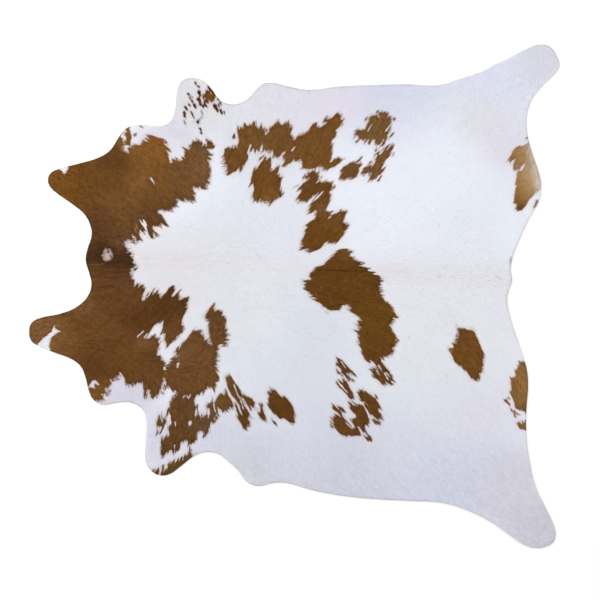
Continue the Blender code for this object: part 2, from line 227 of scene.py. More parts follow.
    "right ribs, lower spot": """
        -17.6,44.2 -17.2,45.5 -16.9,47 -16.5,48.5 -16.1,49.7 -16.1,51 -15.4,51.5 -14.8,50.9
        -14.3,51.1 -13.9,52.5 -13,53.5 -12.4,54.6 -12,55 -11.3,56 -11,55 -10.4,54.7 -9.8,55
        -9.2,56 -8.8,55.9 -8.9,54.5 -8.7,53.3 -8.8,52.2 -9.3,51 -9.4,50.6 -8.6,50.5 -7.5,50.8
        -6.8,51.6 -5.9,52.6 -5.4,53 -5.6,51.8 -5.9,50.5 -6,49.3 -5.8,48.3 -5,47.6 -4,48.2
        -3.9,47.8 -4.9,46.5 -5.1,45.3 -4.8,44.6 -5.2,43.5 -5.4,42.6 -4.9,42.3 -4.3,41.9 -4,41
        -4.1,40.2 -5,39.7 -5.8,39.2 -6.5,38.6 -7.2,38 -8.3,37.6 -8.9,37.2 -9.3,36.2 -9.7,36.1
        -9.3,37.2 -9.8,37.5 -10.7,37.4 -11.5,37.8 -13,37.7 -14,38 -15.2,38.1 -16.3,38.3
        -16.6,39.3 -16.7,40 -16.3,41 -15.9,42.3 -15.6,43.3 -16.2,44 -16.5,44.8 -17.2,44.3""",
    "back, chain of spots": """
        3.3,47 4,48.2 4.6,48.7 5.7,48.9 6.5,49.4 7.2,50 8.4,50.4 9.3,50.3 10,49.6 10.4,48.9
        10.3,47.6 9.8,47 10.5,47.1 11.8,47.7 10.8,46.8 9.5,46 8.8,45.3 10,45.6 11,46 12,46.1
        13,46.6 13.6,46.9 13.2,46.2 12,45.4 14,45.7 15.2,45.6 15.8,45.8 15.6,44.8 16.5,44
        16.8,43.5 16.2,42.8 15.6,42.2 15.3,42.8 15,42.6 14.7,41.8 14.7,40.5 14.9,39.8
        14.5,38.6 14.2,37.3 14,36.2 13.2,35.2 12.6,34.2 13.4,33.9 15,33.9 15.3,33.2 14.8,32
        14.1,31.1 14.6,31.2 15.6,32.3 16.2,33 17,33.1 18,33.6 18.6,34.6 19.3,34.8 19.7,34.1
        20.3,34 21,34.6 21.4,34.2 21.6,33.3 21,32.4 20.6,31.2 20.4,30 21,29.5 22,28.6
        22.6,28.9 21.8,27.4 21,26 20.2,24.7 19.2,23.3 18,22 17.2,21.3 16.5,20.5 15.8,21.1
        14.6,21 13.9,21 13.4,21.9 12.8,21.4 11.9,20.3 11,19.4 10.4,18.7 9.5,18.5 8.5,18.2
        7.5,17.6 6.8,16.9 6.3,17.3 5.8,17.9 5,18.7 3.8,18.6 2.9,18.3 3.1,18.9 2.5,19.6
        2.8,20.3 3.3,20.8 3.3,22 3.5,22.8 4.3,24 4.9,25.2 4.2,25.5 4.7,26.3 5.2,27.6 4.8,27.9
        5.5,28.7 6.5,29.7 7.5,30.2 8.5,30.9 8.8,32 8.7,33 8.9,34.2 8.6,34.3 7.8,33.4 7,33.4
        6.1,33.6 6,34.8 6.3,36 7,37 7.8,37.9 8.3,38.7 8.7,39.6 9.5,40.8 9,40.6 8.2,40
        7.3,39.5 6.5,38.7 5.6,37.8 4.8,37.4 4,37.6 3,37.8 2,37.2 1,36.8 2,37.7 1.6,38.3
        1,38.3 1.5,39.8 2.4,40.8 3.2,41.8 3.2,42.8 2.3,42.3 1.2,41.7 2,43 3.2,44.2 4,45
        5.2,45.8 6,46.6 4.5,46.8""",
    "right flank, small spot": """
        18,47.5 19,48.2 19.2,49.4 18.2,49.9 19.4,51 20.3,52.3 21.5,52.4 22,53.1 22.8,53.6
        24,54 24,52.9 24.8,53.6 26,54.8 27.3,55.8 27.6,55.5 26.5,54 25,53 25,52.5 26,52.8
        27.8,53.4 27.9,53 27,52 26.5,51.6 26.2,51 25.8,50.2 26.5,50.2 25.9,49 25.6,48.2
        25.3,47.3 24.4,47.4 23.5,46.2 23,46.1 23.2,47 22,46.9 20.5,46.8 19,46.8""",
    "right flank, upper spot": """
        24.3,66 25,66.8 26.5,66.8 28.2,66.7 29,67 29.7,68.2 29.9,69.8 30.3,71 30.6,72
        31.5,72.3 32.8,72.3 33.2,73.3 33.6,74.5 34.2,74.4 34.2,73.5 34.6,73.6 35.5,73.8
        36.6,73.5 37.6,72.5 38,71.5 38.5,71.8 39.2,71 39,69.5 38.7,68.3 38.3,67.3 40,70.2
        39.3,67.6 38.5,66.4 39.5,66.9 38.7,65.6 38,64.8 37.4,64.2 37.5,63.2 37,62.2 36.3,61
        36.6,60.5 36,59.9 35.2,59.9 34.6,60.3 34,60.4 33.3,59.8 33,60.5 32.4,61.4 31.9,62.3
        31.2,62 30.8,60.8 30.3,60.5 29.8,61.8 28.8,61.8 28.3,63 27.5,62.8 26.5,62.6
        25.8,61.7 25,61.7 25.6,63 26,64.4 25.3,64.3 24.7,63.6 23.8,62.4 24.2,63.6 25,64.8
        24,64.4 24.4,65 25.2,65.5""",
    "right flank, upper spot, tuft above": "28.8,71 29.4,72.1 29.9,71.7 29.6,70.3 29.1,70.6",
    "right flank, upper spot, tuft beside": """
        38.3,62.9 39.3,63.9 40.5,65.2 40.5,66 39.6,65.3 38.4,64""",
    "right flank, upper spot, tuft below": "32.4,57.9 32.9,58.9 33.8,59.4 33.9,58.8 33,58.2",
    "right flank, lower spot": """
        38.8,61.1 39.6,60.5 40.4,60.2 40,59.3 39.4,58.2 38.7,57.3 39.8,57.7 38.9,56.7
        38.2,55.8 37.5,54.7 36.6,54 36.2,53.8 36.3,53.3 36.8,53 36.2,52 35.9,51.8 36.8,51.2
        36.4,50.4 35.7,49.5 35,48.9 34.2,48.6 33.3,47.2 32.8,46.6 32.4,47.3 31.7,46.2
        31.2,46.5 30.9,46.3 30.2,46 30,46.3 30.4,47.3 31,48.7 30.3,49.4 29.5,49 28.2,48.5
        27.8,49 27,49 27.2,50 27.8,51 28.4,51.7 29.4,52.1 30.2,52.4 31.3,52 32,52.3
        32.6,53.5 33,54.8 32,53.5 31.2,53.2 30.2,53 30.3,53.6 31,54.4 32.2,54.9 33,55.5
        33.4,55.9 32.4,56 32.7,57 33.6,57.8 34.8,57.9 35.8,58.9 36.8,59.5 37.8,60.5""",
    "saddle": """
        16.5,17.2 17,18 17.8,18.5 19,18.7 20.5,18.9 21.8,18.8 22.5,18.3 23.3,18 23.6,17.2
        23.3,16.4 22.9,15.9 24,15.5 25,14.7 26,14.1 27.4,13.9 28.3,13.7 27.9,12.9 27,12.1
        28.5,11.4 30.7,11 30,10.3 30.3,9.9 33.3,9.5 31.5,9 32.4,8.5 34.2,8.4 34.8,7.7
        35.6,6.8 35.8,6 35.2,5 34.6,4.4 35,3.6 35.4,3 34.9,2.5 35.8,2 35.5,1.2 35.8,.4
        35.4,-.6 36.5,-1.6 37.5,-2.4 38.7,-3.5 40.2,-4.8 40,-5.8 40.6,-7 41.6,-8 42,-8.8
        41,-9 40.3,-9.8 40.5,-10.8 39.9,-11.5 38.7,-11.9 39.2,-12.9 39.1,-13.8 40.3,-15
        41.4,-16.2 41.8,-17.2 41.1,-18 41.3,-19 40.9,-20 40,-20.5 40.2,-21.3 39.6,-22.5
        39.4,-23.6 38.7,-23 38.5,-24.3 37.5,-23.8 36.8,-24.6 35.8,-25 35,-25.9 35.5,-26.6
        36.5,-28.1 37.5,-29.1 38.3,-30 39.2,-31.5 40.1,-33.2 40.5,-34.2 40.1,-34.4
        39.4,-33.9 40.4,-35.9 39.5,-35.4 38.8,-34.5 39,-35.4 38,-35.3 37.3,-34.7 36.6,-36.2
        35.5,-35.6 34.6,-34.6 33.8,-33.5 32.9,-33.2 32,-33 31.6,-32.2 32.2,-31.4 31.2,-30.3
        30.7,-29 31.6,-29.4 31.5,-28.9 30.8,-28 31.4,-28 32.3,-29 32.4,-28.2 33.4,-28.8
        33.2,-27.8 32,-26.7 31,-25.8 30.3,-26.5 29,-26.3 28.6,-25 27.7,-23.7 27.3,-22.6
        28,-22.3 27,-21 26.2,-20 25.6,-19.2 26,-18.5 25.5,-17.3 26.5,-17.7 25.3,-16
        26.3,-16.3 25.3,-14.5 25.2,-13.8 26,-13.6 25.8,-12.5 26.2,-11.3 26.3,-10.3 27,-9.6
        25.5,-8.1 24,-7 22.8,-6 22,-5.6 22.2,-4.9 23,-4.8 21.8,-3.4 20.8,-3.5 20.3,-4.3
        19.3,-4.8 19.1,-5.4 17.9,-5.8 16.4,-5.9 15,-5.9 14.2,-5.6 13.2,-4.8 12,-4.3 11,-3.5
        9.8,-2.5 8.8,-1.7 8.2,-.6 7.3,.2 6.8,1 5.7,1.7 4.6,2.6 4.9,3.2 4,4.2 4.6,4.8
        4.2,5.8 3.6,6.7 5,6.3 6.7,6.6 7,7.5 5.7,8 6.3,8.9 7,9.3 7.8,10.3 8.8,11.3 10,11.8
        11.5,12.3 12.9,12.9 13.7,14 14.7,15.2 15.5,16.2""",
    "left flank, speckles, top": """
        17,-24.6 17.8,-25 18.5,-25 19.4,-25.5 20,-26.2 20.6,-27 21.3,-27.8 22,-28.6 23,-29.6
        24,-30.6 25,-31.6 25.6,-32.5 24.4,-32 23.4,-31.4 22.6,-31.2 22.4,-32.2 23,-33
        24,-33.2 24.7,-33.8 24.3,-34.4 23.3,-34 22.2,-34.2 21.5,-33.6 20.6,-32.6 20.8,-32
        19.8,-31.6 20.3,-32.5 19,-32 18,-31.2 17,-30.7 17.2,-30 16.6,-29.2 17.8,-29.5 19,-30
        18.3,-29 17,-28.5 16.7,-27.8 17.5,-27.6 16.8,-26.8 17.8,-27 17,-26.2 18,-26""",
    "left flank, speckles, second": """
        18,-33 18.6,-33.6 19.3,-34.4 20,-34.3 21,-34 21.8,-35 22.5,-36.6 23.3,-38 24,-39.6
        24.4,-40.8 24.3,-41.3 23.8,-41.5 23.2,-41.6 22.6,-41.6 22.2,-40.9 21.3,-39.4 20,-38.2
        18.8,-37 17.8,-36.3 17.2,-34.9
        17.6,-34.2 18.5,-35.2 18.2,-34""",
    "left flank, speckles, back": """
        26,-37 26.9,-37.6 28.2,-37.8 29,-38.4 30.2,-39.2 31.4,-39.8 32.3,-40.2 33.3,-41.4
        34.1,-42.7 34.6,-44 35.3,-45 36,-46 34.9,-45.4 34.1,-44.9 34.2,-46.4 35.2,-47.3
        36.1,-48.2 35.1,-48 35.7,-49.3 35.4,-49.8 34.4,-49.6 33.2,-49.1 32,-48.3 31,-47.7
        30.4,-46.5 30.2,-45.2 29.2,-43.9 28.2,-42.8 27.3,-42.5 26.5,-41.8 25.7,-40.8
        26.6,-41 26.3,-40.2 26,-39.3 25.2,-38.2 26,-38.3""",
    "left flank, speckles, back tip": "32.4,-39.7 33.2,-39.6 33.7,-40.6 34.2,-41.8 33.2,-41",
    "left flank, speckles, low tip": """
        30.8,-48.8 32,-49.7 33.3,-50 34.8,-50.1 35.2,-50.9 34.4,-52 33.2,-51.6 32,-50.6""",
    "left ribs, long tufts": """
        -25.6,-31.2 -25.2,-31.3 -24.6,-32.3 -24,-33.3 -23.3,-34.7 -22.6,-35.5 -22,-36.3
        -21.3,-37.4 -20.7,-38.5 -20.2,-39.8 -20,-41 -19.5,-42 -19.2,-43.2 -19,-44.4
        -18.4,-45.5 -17.8,-46.6 -17.4,-47.5 -16.3,-48.8 -17,-48.6 -17.9,-48 -17.4,-49.2
        -18,-49.2 -17.8,-50.3 -17.2,-50.8 -17,-52.5 -18,-51.9 -18.4,-51 -18.2,-52.4
        -18.7,-53.7 -19.5,-53.9 -20.2,-53 -20.7,-51.8 -21.3,-50.7 -22,-49.7 -22.2,-48.5
        -22.4,-47 -22.7,-45.5 -23.2,-44.3 -23,-42.7 -24,-41.3 -24.7,-40 -25.5,-38.5
        -26,-37.5 -26.5,-36.5 -26.9,-35.5 -27,-34.2 -26.8,-33 -26.3,-31.8""",
    "left ribs, tufts beside": """
        -19.6,-39.3 -19,-39.9 -18,-40.4 -17,-41 -16,-41.6 -15.4,-42.3 -15.7,-43.3 -15.3,-44.5
        -15.3,-45.2 -16.2,-45 -17,-44.5 -16.7,-45.7 -17.2,-45.8 -17.8,-44.8 -18.3,-43.5
        -19,-42.5 -19.8,-41.2 -20.2,-40.4""",
    "left ribs, small tuft": """
        -13.8,-43 -13.2,-43.4 -12.6,-43 -12,-43.3 -11.6,-44.3 -12,-45 -12,-46.3 -11.5,-47.3
        -11,-48.3 -10.8,-49.5 -11.2,-50 -12,-49.9 -12.8,-49.3 -13.6,-48.3 -14.2,-47.3
        -14.8,-46.3 -13.8,-46.6 -13,-46.4 -13,-45.3 -13.5,-44.3""",
    "left ribs, spot": """
        -10.5,-42.4 -10.7,-43.5 -10,-44.4 -9.2,-45.4 -8.4,-46.5 -7.6,-47.4 -6.5,-48
        -5.5,-48.7 -4.8,-49.3 -4.5,-48.6 -3.6,-49 -2.8,-49.9 -1.8,-50.7 -.6,-51.3 0.5,-51.1
        0.6,-50 0.4,-49 0.8,-48 0.9,-47 0.6,-46 0,-45 -.4,-43.8 -1.2,-42.5 -2,-41.5
        -3,-40.6 -4.1,-39.8 -4,-40.6 -4.8,-40.5 -5.5,-39.7 -6.3,-38.6 -7,-37.7 -8.1,-36.8
        -9,-37.2 -9.4,-38.2 -10.2,-38 -10.3,-39 -9.8,-40 -9.7,-41.5 -10.2,-41.8""",
    "left ribs, spot, tuft below": """
        -9,-49.5 -8.2,-49.5 -7.2,-50.6 -6.4,-51.5 -6.9,-51.8 -7.8,-50.9""",
    "left hip, diamond": """
        66,-27.8 65,-27 64,-25.6 63.5,-24 62.6,-22.3 63.2,-21 64,-19.5 64.6,-18 65.3,-16.5
        65.6,-14.5 66,-13 67.5,-12.7 68.2,-12.9 69.5,-13.3 71,-13.6 72,-13.2 72.4,-12.7
        72.3,-14 73,-15.7 73.8,-17 74.2,-18.5 74.8,-20 75.5,-21.5 76.3,-22.8 76.4,-24 76,-26
        76,-27.3 75.7,-28.5 75.7,-30 75.3,-31.3 74.9,-32 74.8,-33.3 74.5,-33.9 74,-33.5
        73.2,-33.7 73.3,-34.2 72.6,-33.8 72,-33.3 71,-33.2 70.6,-32.4 70,-31.2 69,-30.4
        68,-29.8 67.2,-28.5 66.2,-27.6""",
}

# Small patches, most of whose tufts are drawn, in the same terms.
SMALL_PATCHES: dict[str, str] = {
    "right buttock": """
        85.5,54.1 86,55 87,55.8 87.4,56.8 87.8,57.5 88.4,58.6 89,59.7 89.8,60.2 91,60.2
        92.2,60.4 93.2,60.8 93.7,61.4 94.2,61.5 96,62 101,52 101,44 98.6,43.4 97.8,41
        97.5,42.3 96.8,41.6 96,40.3 95.2,39.5 94.4,38.6 93.8,37.8 93.3,36.8 93,35.9
        92.3,35.5 91.8,34.8 91,34.2 90.7,34.6 90,34 89.3,34.3 89.4,35.4 89.4,36.8 88.7,37
        88,37.2 88.3,38.5 88.4,39.8 88.6,41 88.8,42.5 88.9,44 89,45.2 89.3,46.5 89.3,48
        89.4,49.3 89.9,50.2 89.3,50.8 88.5,50.3 88.1,51 88.2,52 88.3,53.5 88.9,55 87.5,54.4
        86.2,53.6 86.2,54.8""",
    "right buttock, low tuft": """
        95.9,34.7 96.4,36 97,37.5 97.5,38.3 97.8,37.5 97.2,36.5 96.5,35.3""",
    "left buttock": """
        90,-26.6 90.3,-26 90.6,-26.6 91.2,-26.2 91.9,-26.2 92.5,-26.6 96,-28 96,-47.5
        93,-47.5 92.8,-46.8 92.5,-46.2 91.5,-46 90.5,-45.9 89.5,-45.5 88.6,-44.8 88.5,-43.5
        88,-42 87.3,-40.3 86.6,-39 86.4,-38 87,-37.9 87.2,-36.8 87,-35.5 86.7,-34.4
        87.1,-34.2 86.9,-33.4 86.4,-32 87.2,-32.8 88,-32.3 88.9,-31.8 88.6,-30.5 88.4,-29.2
        89.2,-29.8 89.7,-29 89.6,-27.5 90.2,-27.4""",
    "left buttock, low tuft": """
        89,-50.5 89.7,-51 90,-50.3 90.5,-50.4 90.8,-51.1 91.4,-51 91.1,-49.9 91.6,-50
        92.2,-51 92.3,-49.8 96,-49.8 96,-54 93,-54 92.5,-53.9 92,-53.4 91.3,-53.6
        90.8,-53.5 90.2,-52.8 89.8,-51.9 89.3,-51.2""",
    "right shoulder, rim": """
        -72.5,57.5 -72,62.5 -70.3,64.4 -69.3,65 -68.9,64.3 -69.2,63.4 -68.7,63.6 -68.4,63
        -68.2,62.2 -68.3,61.4 -68.1,60.6 -67.9,59.6 -67.8,58.6 -68.2,57.6""",
    "right shoulder, rim tuft": """
        -67.6,64.6 -67.4,65.3 -66.9,65.5 -66.8,66 -67.3,66.3 -67.2,66.7 -66.6,67 -66,67.5
        -65.2,67.8 -65,67.5 -65.4,67.1 -65.3,66.4 -65.1,65.6 -65,64.8 -64.5,64.6 -64.3,64.1
        -64.4,63.3 -64.7,62.6 -64.9,61.8 -65,61 -65.1,60.4 -65.5,60.1 -66.5,60.1 -67.3,60.1
        -67.5,60.6 -67.3,61.5 -67.1,62.3 -66.9,63.2 -67.1,63.9 -67.5,64.3""",
    "right shoulder, side tuft": """
        -35.3,62.3 -35.2,62.9 -34.9,63.1 -34.5,62.8 -34.2,62.3 -33.8,62 -33.3,62 -33.1,62.2
        -32.7,62 -32.4,61.4 -32.1,60.9 -31.7,60.6 -31.4,60.1 -31.4,59.5 -31.8,59.2 -32,58.7
        -32.3,58.5 -32.6,58.9 -33,58.9 -33.5,58.8 -33.9,59 -34.3,59.4 -34.4,60 -34.5,60.8
        -34.8,61.6 -35.1,61.9""",
    "right fore shank, spot": """
        -35.4,81.8 -35.2,82.3 -34.8,82.5 -34.3,82.3 -33.9,82.1 -33.5,82 -33.3,81.3 -33.1,80.6
        -32.9,81.2 -32.9,81.8 -32.6,82.3 -32.3,82.5 -31.9,81.8 -31.5,81 -31.1,80.3 -31.4,79.9
        -31.5,79.4 -31.6,78.6 -31.9,78.1 -32.3,77.5 -32.8,77.2 -33.2,77.5 -33.4,78.1
        -33.6,78.5 -33.8,77.8 -33.8,77 -34.1,76.8 -34.4,77 -34.9,77 -35.2,77.5 -35.3,78.2
        -35.3,79.3 -35.6,79.6 -35.8,78.6 -36.1,78.5 -36.3,79.2 -36.5,79.9 -36.3,80.4
        -36.3,80.9 -36,81 -35.8,80.5 -35.5,80.2 -35.4,81""",
    "right fore shank, tick at the rim": """
        -33.8,83.9 -33.4,83.8 -32.9,83.1 -32.7,82.7 -33.1,82.3 -33.4,82.1 -33.7,82.5 -33.6,83""",
    "right fore shank, small spots": """
        -31.7,77.2 -31.5,76.7 -30.9,76.7 -30.8,75.9 -30.6,75.3 -30.1,74.8 -29.9,74.2 -30,73.8
        -30.4,74 -30.9,74.6 -31.3,75 -31.6,75.7 -31.7,76.4""",
    "right fore shank, front line": """
        -38.2,81.9 -37.8,82.2 -37.5,82.2 -37.4,81.6 -37.2,80.9 -36.9,80.3 -37.1,79.8 -37.5,79.5
        -37.4,79 -37,78.7 -36.8,77.9 -36.6,77.5 -36.7,76.7 -37,76.4 -37.2,76 -37.6,76.1
        -37.8,76.5 -37.5,76.9 -37.2,77.3 -37.2,77.9 -37.6,78.1 -38,78.2 -38.4,78.6 -38.5,79.2
        -38,79.3 -37.8,79.8 -37.9,80.5 -38.1,81.1""",
    "right fore shank, front spot": """
        -44.1,74 -43.3,74 -43,73.4 -43.3,72.8 -43.2,72 -43,71.5 -43.4,71.3 -43.8,71.7
        -44.2,71.6 -44.2,72.3 -43.7,72.8 -43.9,73.4""",
    "left flank, speckles, middle": """
        15.4,-43.1 16.2,-43.5 16.9,-44.2 17.5,-44.9 18.1,-45.3 18.3,-45.1 17.8,-44.5 17.4,-43.9
        18.2,-44.2 18.9,-44.6 19.3,-44.5 19.8,-45 20.2,-45.5 20.7,-46.1 21.3,-47 20.6,-46.6
        20,-46.4 19.5,-46.4 19.3,-46.9 19.5,-47.6 19.9,-48.3 20.3,-48.9 20.8,-49.5 21.3,-50
        21.9,-50.6 22.5,-51.2 23,-51.8 23.3,-52.3 22.9,-52.2 22.2,-51.6 21.5,-50.9 20.9,-50.4
        21.1,-51 21.7,-51.7 22.5,-52.3 23.2,-52.9 23.8,-53.2 24.4,-53.1 24.5,-52.5 24.4,-52
        24,-51.3 23.5,-50.6 22.9,-49.9 22.3,-49 22.8,-49.3 23.3,-49.9 23.6,-50 23.5,-49.3
        23.4,-48.8 24,-48.9 24.6,-48.7 25,-48.5 25,-48.1 24.7,-47.5 24.2,-47 23.6,-46.5
        23.1,-46 22.7,-45.3 22.3,-44.7 22.1,-44.2 22.7,-44.1 23.1,-44 22.6,-43.6 22,-43
        21.6,-42.3 22.1,-42.4 22.8,-42.7 23.3,-43.2 23.8,-43.7 24.5,-44.1 25.3,-44.3 25.6,-44
        25,-43.7 24.3,-43.2 23.7,-42.6 23.5,-42.1 24.3,-42.6 25.1,-43.1 25.9,-43.5 26.7,-43.6
        27.5,-44 27.9,-44.7 28.4,-45.4 28.9,-46 29.3,-46.5 29.6,-47.2 29.8,-48 30.1,-48.7
        30.6,-49.6 30.3,-50.2 30.3,-50.9 29.9,-51.2 30.1,-51.9 30.4,-52.6 29.8,-52.2
        29.2,-51.6 28.8,-51.8 28.7,-52.4 28.8,-53.2 29.1,-54 29.4,-54.7 29.9,-55.3 30.3,-55.9
        30.9,-56.1 31.3,-56.6 31.5,-57.3 31.3,-58 31,-58.3 30.6,-58 30.2,-57.6 30,-58.3
        29.7,-58.3 29.3,-57.7 28.8,-57 28.3,-56.3 28,-55.6 28.5,-55.9 29.1,-56.3 29.7,-56.6
        29.8,-56.2 29.3,-55.6 28.9,-54.8 28.7,-54.3 28.6,-54.8 28.4,-55.1 27.9,-54.7 27.4,-54
        26.9,-53.2 26.3,-52.4 25.7,-51.9 25.6,-52.3 26,-53 26.5,-53.9 26.9,-54.7 26.9,-55.3
        27.2,-55.9 26.8,-55.8 26.4,-56 25.6,-56 25,-55.9 24.4,-55.8 23.8,-56 23.1,-56
        22.4,-55.8 21.8,-55.6 21.5,-56 21.6,-56.6 21.3,-56.8 20.9,-56.4 20.7,-56 20.1,-56
        19.5,-55.8 18.9,-55.4 18.3,-54.9 17.8,-54.3 17.3,-53.6 16.8,-53 16.2,-52.6 15.9,-53.1
        15.5,-53 15.1,-52.4 14.8,-51.9 14.6,-51.3 15,-51.5 15.6,-52.1 16.3,-52.3 16.4,-52
        15.6,-51.3 14.9,-50.6 14.3,-49.8 15,-50.1 15.6,-50.7 16.2,-51.2 16.6,-51.5 16.3,-50.9
        15.7,-50 15.1,-49.2 14.5,-48.1 15.1,-48.6 15.7,-49.2 16.2,-49.7 16.2,-49 15.9,-48.3
        16.4,-48.2 16.5,-47.8 16,-47.2 15.7,-46.7 16.3,-47 16.8,-47.4 17.4,-47.3 17.9,-47.6
        18.5,-48 18.8,-48 18.3,-47.4 17.6,-46.7 17.1,-46.2 16.6,-45.9 16,-45.5 15.5,-45
        15.4,-44.4 15.7,-43.9""",
}

# White inside the brown, in the same terms.
WHITE_GAPS: dict[str, str] = {
    "right flap, notch": """
        -94,53 -93.7,50.6 -92.2,49.8 -91.9,48.8 -91,49.2 -90.3,50.5 -90.1,51.8 -90,54""",
    "right shoulder, gap": """
        -61.7,30.5 -61.2,30.4 -60.7,29.7 -60.1,29.1 -59.9,29.7 -60.4,30.6 -59.9,30.5 -59.3,30.1
        -58.8,29.4 -58.5,28.7 -58.7,27.9 -58.4,27 -58.2,26.2 -58.1,25.4 -57.7,23.8 -58.2,24.1
        -58.6,24.9 -59,25.9 -59.5,26.8 -60,27.7 -60.6,28.6 -61.1,29.4""",
    "left flap, notch": """
        -102.3,-21 -102.3,-19.3 -101.6,-18.6 -100.8,-18 -100.3,-17 -99.5,-16.4 -98.5,-15.9
        -97.8,-15 -97,-14.7 -96.5,-14 -96,-12.8 -95.6,-11 -95.3,-12.5 -94.7,-13.4 -94,-13.9
        -93.3,-13.6 -93,-14.3 -94.2,-14.5 -95.3,-15.4 -96.3,-16.2 -96.9,-17.3 -97.3,-18.5
        -97.6,-20 -97.2,-21.2 -97.5,-24""",
    "neck, star": """
        -75.1,19.6 -74.6,18.8 -74.1,17 -73.7,18.7 -73.3,19.3 -72.9,18 -72.3,16.8 -72,15.8
        -72.4,15 -72.8,14.2 -73.6,14.4 -74.3,13.8 -75.2,13.9 -76.2,14.3 -76.2,15.3 -76.1,15.9
        -77,15.8 -76.2,16.9 -75.6,18.2""",
    "left shoulder, rim mark": """
        -83,-37 -81.7,-36 -81,-35 -80.5,-34 -79.8,-33.7 -79,-34 -78,-35 -77.6,-35.6 -78.3,-35.6
        -79.3,-35.2 -79.6,-36 -79.3,-36.8 -80,-37 -80.8,-36.5 -81.5,-36.6""",
    "left fore shank, hole": "-42,-51.5 -41.8,-50 -41,-49.8 -40.6,-50.5 -40.9,-51.5 -41.6,-52",
}

# Single brown locks, one after the other: along, across at the root, along, across at the tip,
# and the width, all in cm.
BROWN_STREAKS: str = """
    -13.5 54.8 -11.8 56.3 .7
    33.9 46.2 35.5 48.3 .7
    39.8 56.2 40.3 57.3 .6
    40.4 70.8 40.6 71.3 .9
    93.2 63 93.4 63.5 .7
    85.9 -40.7 86.6 -41.3 .6
    84.8 -41.7 86.6 -43.8 1.1
    87 -45.5 88.5 -47 .6
    88.3 -46 89.3 -47.6 .6
    88.2 -47.5 89 -48.8 .6
    89.6 -47.3 90.6 -47.7 .6
    -52.2 -53 -53.8 -55.6 .5
    -54.3 -54.3 -55.1 -56.3 .7
    -50.3 -47 -51 -48.8 .6
    -49.8 -44.8 -50.5 -47 .6
    -52.7 -48.5 -51.7 -49.5 .6
    -72.5 -34 -69.5 -33.4 .5
    -75 -39 -73 -38 .6
    -74.5 -40 -73.3 -39 .5
    -23.8 63.6 -23.6 64.6 1.3
    -63.4 64.2 -62.8 65 1.0
    -69.2 64.2 -67.5 65.8 .5
    -61.1 67.8 -60 67.1 .7
    -55 24.3 -54.1 23.5 .5
    -36.4 76.3 -35.9 75.5 .9
    -35.6 78 -35.4 76.7 1.0
    -35.3 76.4 -34.6 75.7 1.1
    -42 80.9 -41.8 80.4 1.0
    -40.8 80.1 -40.7 79.8 .6
    -41.4 79.4 -41.1 79.1 .8
    -40.6 78.2 -40.3 77.4 .9
    -39.6 76.4 -39.2 75.4 1.2
    -41.9 76.8 -41.2 76 .8
    -43.3 75.6 -42.5 74.4 .9
    -43.7 73.3 -43.4 71.9 1.1
    -40.9 73.6 -39.7 71.2 .7
    -38.4 69.8 -38.2 69.3 1.3
    -37.4 67 -37 66.3 1.0
    -36.9 65.4 -36.8 65 .9
    -39.2 85.2 -39 84.7 .95
    -38 83.9 -37.7 83.4 .9
    -37.8 81.7 -37.5 80.3 1.2
    -38.1 78.8 -37.7 78 1.4
    -37.5 77 -37.2 76.4 1.0
    -33.8 83.6 -31.8 80.8 1.3
    -31.5 76.2 -30.2 73.9 1.5
    -29.2 74.4 -28.6 72.9 1.0
    -30.3 78.6 -30.1 78.1 .8
    -29.3 77.4 -29 76.8 .8
    -30 76.7 -29.6 75.5 .6
    -27.8 73.6 -27.7 73.1 .7
    -62.2 58.4 -61 56 1.0
    -60.8 58.8 -59.8 56.6 1.0
    15.6 -44.2 17.8 -46.6 .4
    27.5 -44.2 29.6 -48.2 1.0
    28.9 -43.6 31.1 -47.7 1.0
    97.5 38 96.3 35.4 1.0
    89.3 36.2 89.6 34.2 .5
    90.6 36 90.8 34.3 .5
    91.7 36.2 91.8 34.6 .5
    88.6 58.6 85.6 53.8 .5
    88.8 57.4 86.6 53.2 .6
    90.2 55.6 88.2 51.8 .5
    90 52.4 88.6 50 .5
    90.4 46.2 88.8 44.4 .5
    90 43.4 88.4 41.4 .4
    90.2 40 88.2 37.2 .6
    90 37.4 88.8 34.6 .5
    -73.2 16.2 -72.6 14.8 .4
    -74 18.8 -73.5 17.2 .4
"""

